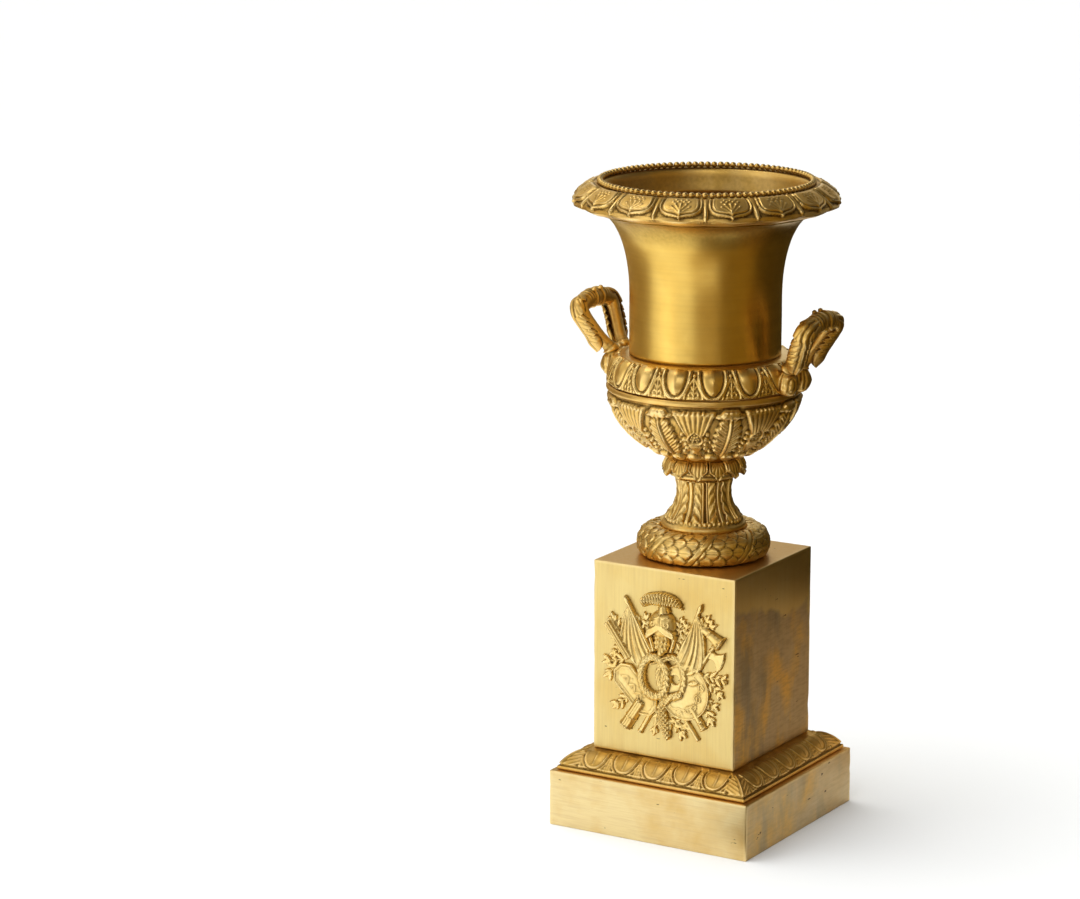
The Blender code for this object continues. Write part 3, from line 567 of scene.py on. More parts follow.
def makeBarrel():
    # the outer wall, the lip and the inner wall in one closed profile
    level = np.linspace(barrelSet["foot"], barrelSet["flareTop"], 200)
    outer = evenPoints(np.stack((flareRadius(level), level), axis=1), 60)
    outer[-1, 0] = min(outer[-1, 0], 65.4)
    lip = np.array([(65.9, 369.6), (57.6, 369.7), (57.2, 369.4)])
    innerRadius = np.minimum(flareRadius(level) - barrelSet["wall"], barrelSet["mouth"])
    inner = evenPoints(np.stack((innerRadius, level), axis=1)[::-1], 40)
    profile = np.vstack((outer, lip, inner))
    height = np.repeat(0.035 * roughCast(1.0, profile[:, 1:], 7.0, 9), barrelSet["columns"], axis=1)
    # painted shade along the foot, where the barrel meets the shoulder
    footShade = 0.25 * np.exp(-(profile[:, 1:] - 285.0) / 0.7) * (profile[:, :1] > 44)
    above = 0.30 * smoothStep(349.0, 364.0, profile[:, 1:])      # painted shade under the rim, also duller there
    hollow = np.broadcast_to(0.45 + footShade + above, height.shape)
    paint = giltPaint("barrelGilt", shine=0.25, dull=0.34, brush=(14, 14, 1500), brushDepth=0.13, patches=(0.30, 0.85),
                      grain=0.05, bright=(0.86, 0.60, 0.165, 1), warm=(0.78, 0.51, 0.12, 1))
    turnedPiece("barrelWall", profile, height, hollow, paint, ["barrel"])


# shoulder: sixteen eggs in raised frames, with arched darts between
shoulderSet = {"eggs": 16, "firstEgg": 11.25, "columnsPerEgg": 56, "eggRise": 2.0, "frameRise": 1.15}


def makeShoulder():
    # v runs up the side and x round it from each egg's middle, in mm; an egg rises with the root of
    # the distance inside its outline, and its frame is a round ridge just outside that
    p = np.linspace(0, 1, 300)
    curve = np.stack((46.2 + 11.1 * np.cos(p * math.pi / 2) ** 0.9, 267.3 + 17.2 * np.sin(p * math.pi / 2)), axis=1)
    side = evenPoints(curve, 46, last=True)
    top = evenPoints([(46.2, 284.7), (42.4, 284.8), (42.4, 280.0)], 5, last=True)
    foot = evenPoints([(50.0, 268.0), (54.2, 267.25), (57.1, 267.2)], 4)
    profile = np.vstack((foot, side, top[1:]))
    v = (travel(profile) - travel(profile)[len(foot)])[:, None]
    offset, turn = cellGrid(shoulderSet["eggs"], shoulderSet["firstEgg"], shoulderSet["columnsPerEgg"])
    x = np.radians(offset)[None, :] * profile[:, :1]
    ax = np.abs(x)
    egg = bentLine([(0.0, 2.3), (1.9, 3.0), (3.9, 5.2), (5.2, 8.2), (5.9, 11.6), (5.9, 15.0), (5.5, 18.6)], 30)
    wide = np.interp(v, egg[:, 1], egg[:, 0])
    inside = np.where((v > 2.3), np.sign(wide - ax), -1.0)
    near = lineDistance(ax, v, egg) * inside
    fillet = smoothStep(18.0, 18.5, v)
    eggHeight = shoulderSet["eggRise"] * np.sqrt(np.clip(near / 5.2, 0, 1)) * smoothStep(0.0, 0.5, near)
    eggHeight *= 1 - 0.12 * smoothStep(12, 18, v)
    frameRidge = shoulderSet["frameRise"] * dome(near + 1.95, 1.2) ** 0.8
    height = np.maximum(eggHeight, frameRidge) - 0.55 * bank(near + 0.35, 0.7)
    field = near < -3.0
    pitch = math.radians(22.5) * profile[:, :1]
    gap = pitch / 2 - ax
    arch = bentLine([(5.6, 0.4), (4.9, 3.2), (3.4, 6.4), (2.0, 9.4), (0.9, 11.6), (0.0, 12.8)], 20)
    archNear = lineDistance(gap, v, arch)
    archWide = np.interp(v, arch[:, 1], arch[:, 0])
    height = np.where(field, np.maximum(height, 0.15 + 0.7 * bank(archNear, 0.85)), height)
    within = field & (gap < archWide - 0.7) & (v > 0.9) & (v < 12.2)
    height = np.where(within, np.maximum(0.12 * stipple(x, v, 1.0) - 0.15, -0.2), height)
    for line, thick, rise in (([(0, 1.2), (0, 10.6)], 0.42, 0.75),
                              (bentLine([(0.1, 3.0), (1.6, 4.7), (2.6, 4.0)], 8), 0.42, 0.6),
                              (bentLine([(0.1, 5.6), (1.0, 7.0), (1.5, 8.0)], 8), 0.36, 0.55),
                              ([(0.1, 1.6), (2.9, 1.5)], 0.5, 0.55)):
        mark = bank(lineDistance(gap, v, line), 1.6 * thick) * rise
        height = np.where(field, np.maximum(height, mark), height)
    for place, size, rise in (((0, 11.0), 0.75, 0.85), ((2.7, 3.2), 0.75, 0.8), ((0, 14.6), 1.1, 1.15),
                              ((0, 16.5), 0.55, 0.6)):
        mark = rise * dome(np.hypot(gap - place[0], v - place[1]), size)
        height = np.maximum(height, mark)
    aboveArch = field & (v > 13.2) & (v < 18.0) & (np.hypot(gap, v - 14.6) > 1.1)
    height = np.where(aboveArch, np.minimum(height, -0.25), height)
    band = smoothStep(0.1, 0.8, v) * (1 - fillet)
    height = height * band
    height += 0.35 * bank(v - 19.2, 1.3) + 0.05 * roughCast(turn[None, :], v, 8.0, 4)
    height += -0.3 * (1 - smoothStep(0.0, 0.7, v)) * (v >= 0)
    profileTop = profile[:, :1] < 46.0
    height = np.where(profileTop | (v < 0), 0.0, height)
    hollow = hollows(height, 4, 0.7)
    hollow = np.where(eggHeight > 0.9, np.minimum(hollow, 0.40), hollow)
    # painted highlight: the flat top and the fillet are set a little brighter
    hollow = np.where(profileTop | fillet.astype(bool), 0.32, hollow)
    paint = giltPaint("shoulderGilt", shine=0.22, dull=0.44, shadeAmount=0.97, bright=(0.96, 0.70, 0.28, 1),
                      warm=(0.88, 0.60, 0.19, 1))
    turnedPiece("shoulderEggs", profile, height, hollow, paint, ["shoulder_ring"])


# bowl: fans and acanthus leaves by turns, twenty lobes below and a bright plain band above
bowlSet = {
    "pairs": 8,
    "firstFan": 22.5,
    "columnsPerPair": 86,
    "fanRise": 0.95,
    "leafRise": 1.2,
    "groundDepth": 1.15,
    "lobes": 20,
}


def raiseMark(height, mark, rise):
    # the higher of the surface and a mark of the given rise
    return np.maximum(height, np.where(mark > 0, mark * rise, -9.0))


def acanthusRelief(x, v):
    # a tall leaf with a stem ridge, slanting veins, toothed edge and a curled head of two knobs
    ax = np.abs(x)
    lobe = (v / 6.1) % 1.0
    wide = np.interp(v, [2, 8, 16, 24, 32, 38, 43, 46], [2.6, 5.4, 7.6, 8.3, 8.2, 7.2, 5.0, 3.2])
    wide = wide * (0.80 + 0.24 * np.sin(math.pi * lobe ** 1.6))
    inside = smoothStep(-0.3, 0.5, wide - ax) * smoothStep(1.0, 2.6, v) * (1 - smoothStep(44.5, 46.0, v))
    veins = np.cos(6.28 * (v - 1.05 * ax) / 3.05)
    blade = 0.35 + 0.65 * (1 - (ax / (wide + 0.1)) ** 2) + 0.26 * veins * smoothStep(0.8, 2.4, ax)
    notch = bank((v - 1.05 * ax + 1.6) % 6.1 - 3.05, 0.55) * smoothStep(2.6, 4.2, ax)
    blade = blade - 0.55 * notch
    stem = 0.75 * bank(ax, 1.1) - 0.35 * bank(ax - 1.35, 0.5)
    return inside, blade + stem


def fanRelief(x, v):
    # a palmette of rays that spring from a calyx, a seeded arch, a cup and a small leaf below
    ax = np.abs(x)
    ray = np.degrees(np.arctan2(ax, v - 15.5))
    beam = np.abs(((ray / 6.6 + 0.5) % 1.0) - 0.5) * 2
    fan = smoothStep(0.0, 1.6, 19.5 - ray) * smoothStep(27.0, 29.0, v) * (1 - smoothStep(47.6, 48.2, v))
    rays = 0.35 + 0.75 * np.sqrt(np.clip(1 - beam ** 2, 0, 1))
    outer = bank(ray - 19.0, 3.1) * smoothStep(28.0, 31.0, v) * (1 - smoothStep(48.2, 49.0, v))
    return fan, rays, outer


def makeBowl():
    # v runs from 2 at the lobes to 52 under the band and x round the bowl from each fan's middle, in mm;
    # fans and leaves lie over a stippled ground, the highest showing
    d = np.linspace(1, 0, 400)
    curve = np.stack((27 + 30 * (1 - d ** 1.9) ** 0.85, 262.8 - 36.3 * d), axis=1)
    base = evenPoints([(10.0, 226.6), (16.4, 226.6), (23.5, 226.6)], 5)
    lobes = evenPoints([(23.8, 226.7), (26.6, 226.95), (29.2, 227.8), (31.6, 229.0), (33.2, 229.9)], 16)
    above = curve[curve[:, 1] > 229.9]
    side = evenPoints(above, 62, last=True)
    band = evenPoints([(57.5, 263.2), (58.25, 263.9), (58.55, 265.0), (58.25, 266.2), (57.6, 266.8)], 8, last=True)
    roof = evenPoints([(56.4, 266.9), (54.0, 266.9), (53.6, 266.2), (53.0, 259.0), (48.0, 249.0), (39.0, 239.0),
                       (30.0, 232.5), (24.0, 229.9), (12.0, 229.7)], 12, last=True)
    profile = np.vstack((base, lobes, side, band, roof))
    offset, turn = cellGrid(bowlSet["pairs"], bowlSet["firstFan"], bowlSet["columnsPerPair"])
    startRow = len(base) + len(lobes)
    v = (travel(profile) - travel(profile)[startRow])[:, None]
    v = 2.0 + 50.0 * v / v[startRow + len(side) - 1]
    sideRows = (np.arange(len(profile)) >= startRow) & (np.arange(len(profile)) < startRow + len(side))
    x = np.radians(offset)[None, :] * profile[:, :1]
    half = math.radians(180.0 / bowlSet["pairs"]) * profile[:, :1]
    ax = np.abs(x)
    gap = (half - ax) * np.where(x < 0, -1.0, 1.0)
    height = -bowlSet["groundDepth"] + 0.14 * stipple(x, v, 1.25)
    inside, blade = acanthusRelief(gap, v)
    leafHeight = inside * blade * bowlSet["leafRise"] - (1 - inside) * 0.8
    height = np.where(inside > 0, np.maximum(height, leafHeight), height)
    fan, rays, outer = fanRelief(x, v)
    height = np.where(fan > 0, np.maximum(-0.4, fan * rays * bowlSet["fanRise"] - (1 - fan) * 0.8), height)
    height = raiseMark(height, outer, 1.15)
    # beads along the fan's top
    for place in np.linspace(0, 11.6, 5):
        level = 48.3 - 0.012 * place ** 2
        height = raiseMark(height, dome(np.hypot(ax - place, v - level), 1.15), 1.35)
    # pointed arch with seeds
    arch = bentLine([(0.0, 33.2), (1.9, 30.8), (3.5, 28.2), (4.4, 25.2), (3.9, 22.0), (2.4, 20.4), (0.0, 20.0)], 30)
    archWide = np.interp(v, arch[::-1, 1], arch[::-1, 0])
    archIn = (ax < archWide) & (v > 20.0) & (v < 33.2)
    height = np.where(archIn, -0.15, height)
    height = raiseMark(height, bank(lineDistance(ax, v, arch), 1.0), 1.25)
    for place in ((0.0, 30.0), (1.5, 27.6), (0.0, 27.0), (2.2, 25.0), (0.8, 24.6), (1.4, 22.4)):
        height = raiseMark(height, dome(np.hypot(ax - place[0], v - place[1]), 0.8), 0.95)
    # cup under the arch, with its ring, and a small leaf under it
    cupWide = np.interp(v, [9.5, 12.0, 15.0, 17.8, 19.6], [1.6, 2.6, 3.6, 4.4, 3.4])
    cup = smoothStep(0.0, 0.6, cupWide - ax) * smoothStep(9.0, 9.6, v) * (1 - smoothStep(19.4, 20.0, v))
    height = raiseMark(height, cup, 0.75)
    height = raiseMark(height, cup * bank(v - 18.6, 1.1), 1.5)
    height = raiseMark(height, cup * bank(v - 15.9, 0.9), 1.2)
    leafWide = 4.2 * np.sqrt(np.clip(1 - ((v - 5.5) / 5.0) ** 2, 0, 1)) * (0.82 + 0.2 * np.cos(6.28 * v / 2.6))
    small = smoothStep(0.0, 0.5, leafWide - ax)
    smallHeight = small * (0.5 + 0.3 * bank(ax, 0.8) + 0.2 * np.cos(3.4 * (v + ax)))
    height = np.where(small > 0, np.maximum(height, smallHeight), height)
    # curls and drilled dots beside the calyx
    for place, size, rise in (((6.5, 24.4), 1.7, 1.15), ((7.6, 29.8), 1.25, 0.9), ((5.9, 18.6), 1.45, 1.0),
                              ((5.4, 13.4), 1.5, 0.95), ((7.4, 8.4), 1.2, 0.7), ((8.6, 21.0), 0.9, 0.7)):
        away = np.hypot(ax - place[0], v - place[1])
        height = raiseMark(height, dome(away, size), rise)
        height = height - 0.7 * bank(away, 0.5 * size) * rise
    for place in ((5.0, 21.3), (4.6, 16.0), (6.8, 15.8), (6.6, 11.0), (3.9, 10.0), (7.9, 26.8)):
        height = height - 1.1 * bank(np.hypot(ax - place[0], v - place[1]), 0.85)
    # curled heads of the acanthus, standing clear of the leaf
    ag = np.abs(gap)
    head = 2.35 * dome(np.hypot((ag - 2.7) / 1.05, v - 46.6), 3.5)
    head = np.maximum(head, 2.5 * dome(np.hypot(ag / 0.9, v - 47.2), 2.9))
    head = head * (1 - 0.16 * np.abs(np.cos(1.5 * ag + 0.9 * (v - 44.0))))
    under = bank(np.hypot(ag / 1.5, v - 42.4), 2.6)
    height = np.where(under > 0, height - 0.75 * under * (head <= 0), height)
    height = np.maximum(height, np.where(head > 0, head, -9.0))
    tuft = bank(np.hypot((ag - 6.2) / 1.4, v - 45.2), 1.9)
    height = raiseMark(height, tuft, 1.1)
    fade = smoothStep(0.0, 1.0, v - 2.0) * (1 - smoothStep(50.6, 51.6, v))
    height = height * fade - 0.5 * (1 - fade)
    height = np.where(sideRows[:, None], height, 0.0)
    # rounded lobes over the lower edge, dome shapes 8 mm wide and 11 mm long
    lobeCell = (turn * bowlSet["lobes"] / 360.0 + 0.5) % 1.0 - 0.5
    climb = (travel(profile) - travel(profile)[len(base)])[:, None]
    lobeAway = np.hypot(lobeCell[None, :] / 0.45, (climb - 6.0) / 5.6)
    lobeZone = (np.arange(len(profile)) >= len(base))[:, None] & (climb < 13.4)
    lobe = 2.5 * dome(lobeAway, 1.0) - 0.6 * bank(lobeAway - 1.05, 0.3)
    lobeHeight = np.where(lobeAway < 1.0, lobe, np.minimum(height, lobe))
    height = np.where(lobeZone & (lobeAway < 1.3), lobeHeight, height)
    height += 0.07 * roughCast(turn[None, :], v, 7.0, 6) * sideRows[:, None]
    hollow = hollows(height, 4, 0.8)
    bandRows = (profile[:, 1] > 263.3) & (profile[:, 0] > 57)
    # painted highlight: the plain band is set a little brighter
    hollow[bandRows] = 0.35
    paint = giltPaint("bowlGilt", shine=0.27, dull=0.48, shadeAmount=0.97)
    turnedPiece("bowlLeaves", profile, height, hollow, paint, ["bowl"], closed=False)


# collar: twelve drooping pointed leaves, veined and ribbed by turns, under a plain neck
collarSet = {"leaves": 12, "firstRibbed": 20.2, "columnsPerLeaf": 40}


def makeCollar():
    # v runs up from the leaves' tips and x round from each leaf's middle, in mm; a leaf has a raised
    # border, and inside it either veins that fan out from its root or straight ribs
    base = evenPoints([(8.0, 210.2), (16.4, 210.2)], 3)
    under = evenPoints([(16.9, 210.4), (18.6, 210.7), (20.6, 211.7), (21.9, 212.7)], 10)
    lip = evenPoints([(22.4, 213.1), (23.0, 213.7), (23.3, 214.6)], 5)
    crown = evenPoints(bentLine([(23.35, 215.0), (22.9, 217.6), (21.6, 220.2), (19.4, 222.2), (17.2, 223.0)], 30), 26)
    neck = evenPoints([(16.5, 223.3), (16.9, 223.8), (17.05, 224.8), (16.8, 225.8), (16.3, 226.2), (8.0, 226.2)], 9,
                      last=True)
    profile = np.vstack((base, under, lip, crown, neck))
    offset, turn = cellGrid(collarSet["leaves"], collarSet["firstRibbed"], collarSet["columnsPerLeaf"])
    index = np.round((turn - collarSet["firstRibbed"]) / 30.0).astype(int) % 2
    tipRow = len(base) + len(under) - 1
    v = (travel(profile) - travel(profile)[tipRow])[:, None]
    x = np.radians(offset)[None, :] * profile[:, :1]
    ax = np.abs(x)
    half = math.radians(15.0) * profile[:, :1]
    wide = np.minimum(half - 0.15, np.interp(v, [0.6, 5.2, 6.6, 9.6], [0.0, 5.4, 6.0, 5.4]))
    near = (wide - ax) * 0.82
    onLeaf = smoothStep(-0.15, 0.25, near) * (v > 0.6) * (1 - smoothStep(10.8, 11.8, v))
    border = bank(near - 0.5, 0.7)
    veined = index[None, :] == 1
    fan = np.abs(np.sin(np.arctan2(ax, np.maximum(11.5 - v, 0.1)) * 9.0))
    pattern = np.where(veined, 0.45 * fan ** 0.6, 0.5 * np.abs(np.cos(ax * 1.45)) ** 0.8)
    height = onLeaf * (0.6 + 1.0 * pattern * smoothStep(1.2, 1.8, near)) + onLeaf * 1.5 * border
    height = height + 0.25 * onLeaf * (1 - smoothStep(1.0, 5.0, v))
    height = height - (1 - onLeaf) * 1.5 * smoothStep(-1.2, 0.6, v) * (1 - smoothStep(10.6, 11.6, v))
    height = height - 0.5 * bank(half - ax, 0.5) * smoothStep(2.0, 4.0, v) * (1 - smoothStep(10.0, 11.4, v))
    underRows = smoothStep(-6.6, -6.0, v) * (1 - smoothStep(-0.6, 0.4, v))
    height += 0.2 * stipple(x, v, 1.05) * underRows
    height = height * (profile[:, :1] > 16.95) + 0.04 * roughCast(turn[None, :], v, 6.0, 7)
    hollow = hollows(height, 3, 0.7)
    # painted shade under the lip of the leaves
    hollow = np.clip(hollow + 0.18 * underRows, 0, 1)
    paint = giltPaint("collarGilt", shine=0.26, dull=0.46, shadeAmount=0.97, bright=(0.96, 0.70, 0.28, 1),
                      warm=(0.88, 0.60, 0.19, 1))
    turnedPiece("collarLeaves", profile, height, hollow, paint, ["collar"], closed=False)


# foot: a bound laurel torus, a plain fillet, buds and a waisted stem of leaves and fillets
footSet = {
    "columns": 540,
    "leavesRound": 30,
    "ribbons": 8,
    "firstRibbon": 26.8,     # where a ribbon crosses the torus's middle, in degrees
    "ribbonLean": 0.21,      # degrees round for each degree up the torus's section
    "ribbonWidth": 4.8,
    "firstMidrib": 31.0,
}


def laurelRelief(turn, section):
    # overlapping pointed leaves that lie round the torus: the highest of the leaves over each place
    length = 360.0 / footSet["leavesRound"]
    rowHeight = 34.0
    best = np.full(np.broadcast(turn, section).shape, -0.35)
    row = section / rowHeight
    for shiftRow in (-1, 0, 1):
        line = np.floor(row) + shiftRow
        across = (row - line - 0.5)
        start = turn / length - 0.5 * (line % 2)
        for shiftLeaf in (-1, 0, 1):
            leaf = np.floor(start) + shiftLeaf
            along = start - leaf
            part = np.clip((along + 0.25) / 1.35, 0, 1)
            wide = 0.66 * np.sin(math.pi * part ** 1.25) ** 0.75
            within = (np.abs(across) < wide) & (part > 0) & (part < 1)
            side = np.abs(across) / np.maximum(wide, 0.01)
            lift = -0.1 + 0.95 * part + 0.35 * (1 - side ** 2) - 0.22 * bank(across, 0.08)
            lift = lift + 0.05 * np.cos(30 * (across + 0.35 * part * np.sign(across)))
            lift = lift + 0.12 * np.sin(2.4 * leaf + 1.7 * line)
            best = np.where(within, np.maximum(best, lift), best)
    return best


def makeFoot():
    # the torus is 9.3 mm of radius round a ring of 29.5 mm; over it lie laurel and slanting ribbons,
    # and up the stem six panels, each a midrib groove between two toothed leaves and a plain fillet
    low = math.asin((162.9 - 170.2) / 9.3)
    high = math.pi - math.acos((29.5 - 24.9) / 9.3)
    section = np.linspace(low, high, 50)
    torus = np.stack((29.5 + 9.3 * np.cos(section), 170.2 + 9.3 * np.sin(section)), axis=1)
    base = np.array([(12.0, 162.9), (33.5, 162.9)])
    fillet = evenPoints([(24.6, 179.6), (25.1, 180.2), (25.3, 181.3), (24.9, 182.5), (24.2, 183.0)], 8)
    stem = bentLine([(23.6, 183.4), (22.3, 185.4), (20.2, 188.2), (18.2, 191.6), (16.7, 195.6), (15.95, 200.0),
                     (15.9, 203.6), (16.4, 207.2), (17.0, 209.4)], 90)
    stem = evenPoints(stem, 54, last=True)
    top = np.array([(16.6, 209.8), (8.0, 209.8)])
    profile = np.vstack((base, torus, fillet, stem, top))
    turn = 360.0 * np.arange(footSet["columns"]) / footSet["columns"]
    angle = np.degrees(section)[:, None]
    laurel = 1.45 * laurelRelief(turn[None, :], angle + 179.0)
    # ribbons wound slantwise over the leaves
    cell = (turn[None, :] - footSet["firstRibbon"] - footSet["ribbonLean"] * angle) / 360.0 * footSet["ribbons"]
    away = (cell - np.round(cell)) * 360.0 / footSet["ribbons"]
    away = np.radians(away) * torus[:, :1]
    wide = footSet["ribbonWidth"] / 2
    ribbon = smoothStep(-0.2, 0.2, wide - np.abs(away + wide))
    fold = bank(away + 0.25, 0.42)
    seamLine = bank(away + 2 * wide, 0.5)
    ribbonHeight = 1.0 + 0.22 * bank(away + wide, wide) + 0.3 * bank(away + 2 * wide - 0.5, 0.6)
    torusRelief = laurel * (1 - ribbon) + ribbon * ribbonHeight
    torusRelief = torusRelief - 1.05 * fold - 0.5 * seamLine
    edge = smoothStep(low, low + 0.22, section) * (1 - smoothStep(high - 0.20, high, section))
    torusRelief = torusRelief * edge[:, None]
    # stem panels
    level = stem[:, 1:]
    pattern = (turn - footSet["firstMidrib"]) / 60.0
    offset = (pattern - np.round(pattern)) * 60.0
    x = np.repeat(np.abs(offset)[None, :], len(stem), axis=0)
    groove = -1.25 * bank(x, 2.6)
    rib = 0.75 * bank(x - 3.9, 2.2)
    lobe = ((level - 184.0) / 6.2) % 1.0
    leafEdge = 21.5 + 2.6 * np.sin(math.pi * lobe ** 0.7) - 1.2
    leaf = smoothStep(0.0, 1.6, leafEdge - x) * smoothStep(6.0, 7.6, x)
    veins = np.cos(6.28 * ((level - 184.0) / 6.2 - (x - 6.0) / 17.0))
    blade = leaf * (0.25 + 0.42 * bank(x - 14.5, 10.0) + 0.30 * veins * smoothStep(7.0, 10.0, x))
    edgeLine = 0.38 * bank(leafEdge - x - 0.9, 1.5)
    channel = -0.95 * smoothStep(0.0, 1.2, x - leafEdge) * (1 - smoothStep(26.4, 27.6, x))
    strip = 0.55 * smoothStep(26.4, 27.6, x)
    relief = groove + rib + blade + edgeLine + channel + strip
    grow = 0.85 + 0.6 * (1 - smoothStep(186.0, 197.0, level))
    relief = relief * grow
    start = smoothStep(184.6, 186.2, level) * (1 - smoothStep(208.8, 209.5, level))
    relief = relief * start
    radial = np.radians(offset)[None, :] * stem[:, :1]
    along = travel(stem)[:, None]
    for place, size, rise in (((0.0, 2.0), 1.35, 1.5), ((2.9, 1.9), 1.25, 1.35), ((5.6, 2.1), 1.0, 1.1),
                              ((9.0, 2.3), 1.15, 1.2)):
        away = np.hypot(np.abs(radial) - place[0], along - place[1])
        relief = raiseMark(relief, dome(away, size), rise)
    height = np.zeros((len(profile), footSet["columns"]))
    torusStart, filletStart = len(base), len(base) + len(torus)
    height[torusStart:filletStart] = torusRelief
    height[-len(stem) - len(top):-len(top)] = relief
    height += 0.05 * roughCast(turn[None, :], profile[:, 1:], 5.0, 11) * (profile[:, :1] > 15)
    hollow = hollows(height, 4, 0.62)
    hollow[filletStart:filletStart + len(fillet)] = 0.42
    # painted light: a lighter copy of the gilt that lifts the stem out of the shade under the bowl
    paint = giltPaint("footGilt", shine=0.27, dull=0.46, bright=(0.98, 0.73, 0.31, 1), warm=(0.91, 0.64, 0.21, 1))
    turnedPiece("footLaurel", profile, height, hollow, paint, ["foot"], closed=False)


# square plinth: slab, leaf moulding and block
slabSet = {"half": 67.0, "low": 0.0, "high": 34.0, "edge": 0.7}
blockSet = {"half": 47.7, "low": 46.5, "high": 162.6, "edge": 0.55}


def squareRing(half, corner, sideSteps, cornerSteps):
    # the outline of a square with rounded corners, anticlockwise from the middle of the front
    straight = half - corner
    along = np.linspace(-straight, straight, sideSteps, endpoint=False)
    side = np.stack((along, np.full(sideSteps, -half)), axis=1)
    turn = np.linspace(-math.pi / 2, 0, cornerSteps, endpoint=False)
    bend = np.stack((straight + corner * np.cos(turn), -straight + corner * np.sin(turn)), axis=1)
    quarter = np.vstack((side, bend))
    sides = []
    for step in range(4):
        spin = np.array([(math.cos(step * math.pi / 2), math.sin(step * math.pi / 2)),
                         (-math.sin(step * math.pi / 2), math.cos(step * math.pi / 2))])
        sides.append(quarter @ spin)
    return np.vstack(sides)


def makeBlock(name, look, rows, sideSteps, wear, paint, nodes, seed):
    # rounded square outlines stacked up the height: quarter circles at the arrises, flat ends
    arris = look["edge"]
    turn = np.linspace(-math.pi / 2, 0, 5)
    inset = np.concatenate(((8.0, 1.6), arris * (1 - np.cos(turn)), np.zeros(rows),
                            arris * (1 - np.cos(turn[::-1])), (1.6, 8.0)))
    level = np.concatenate(((look["low"], look["low"]), look["low"] + arris * (1 + np.sin(turn)),
                            np.linspace(look["low"] + 2, look["high"] - 2, rows),
                            look["high"] - arris * (1 + np.sin(turn[::-1])), (look["high"], look["high"])))
    grid = []
    for pull, height in zip(inset, level):
        ring = squareRing(look["half"] - pull, max(arris - 0.5 * min(pull, arris), 0.2), sideSteps, 5)
        grid.append(np.column_stack((ring, np.full(len(ring), height))))
    grid = np.stack(grid)
    onEdge = np.exp(-((look["half"] - np.abs(grid[..., 0])) ** 2 + (look["half"] - np.abs(grid[..., 1])) ** 2) / 3.0)
    dents = wear * np.clip(roughCast(grid[..., 2], grid[..., 0] + grid[..., 1], 11.0, seed) - 0.35, 0, 1) * onEdge
    outward = np.sign(grid[..., :2]) * np.where(np.abs(grid[..., :2]) > look["half"] - 3, 1.0, 0.0)
    grid[..., :2] -= outward * dents[..., None]
    quads, triangles = cappedFaces(*grid.shape[:2])
    points = np.vstack((grid.reshape(-1, 3), (0, 0, look["low"]), (0, 0, look["high"])))
    reach = np.max(np.abs(points[:, :2]), axis=1)
    edgeNear = np.exp(-np.minimum(np.hypot(look["half"] - np.abs(points[:, 0]), look["half"] - np.abs(points[:, 1])),
                                  np.hypot(look["half"] - reach, look["high"] - points[:, 2])) / 1.2)
    # painted highlight along the arrises, through the hollow value
    hollow = 0.45 - 0.45 * edgeNear
    return makePiece(name, points, quads, triangles, hollow, paint, nodes)


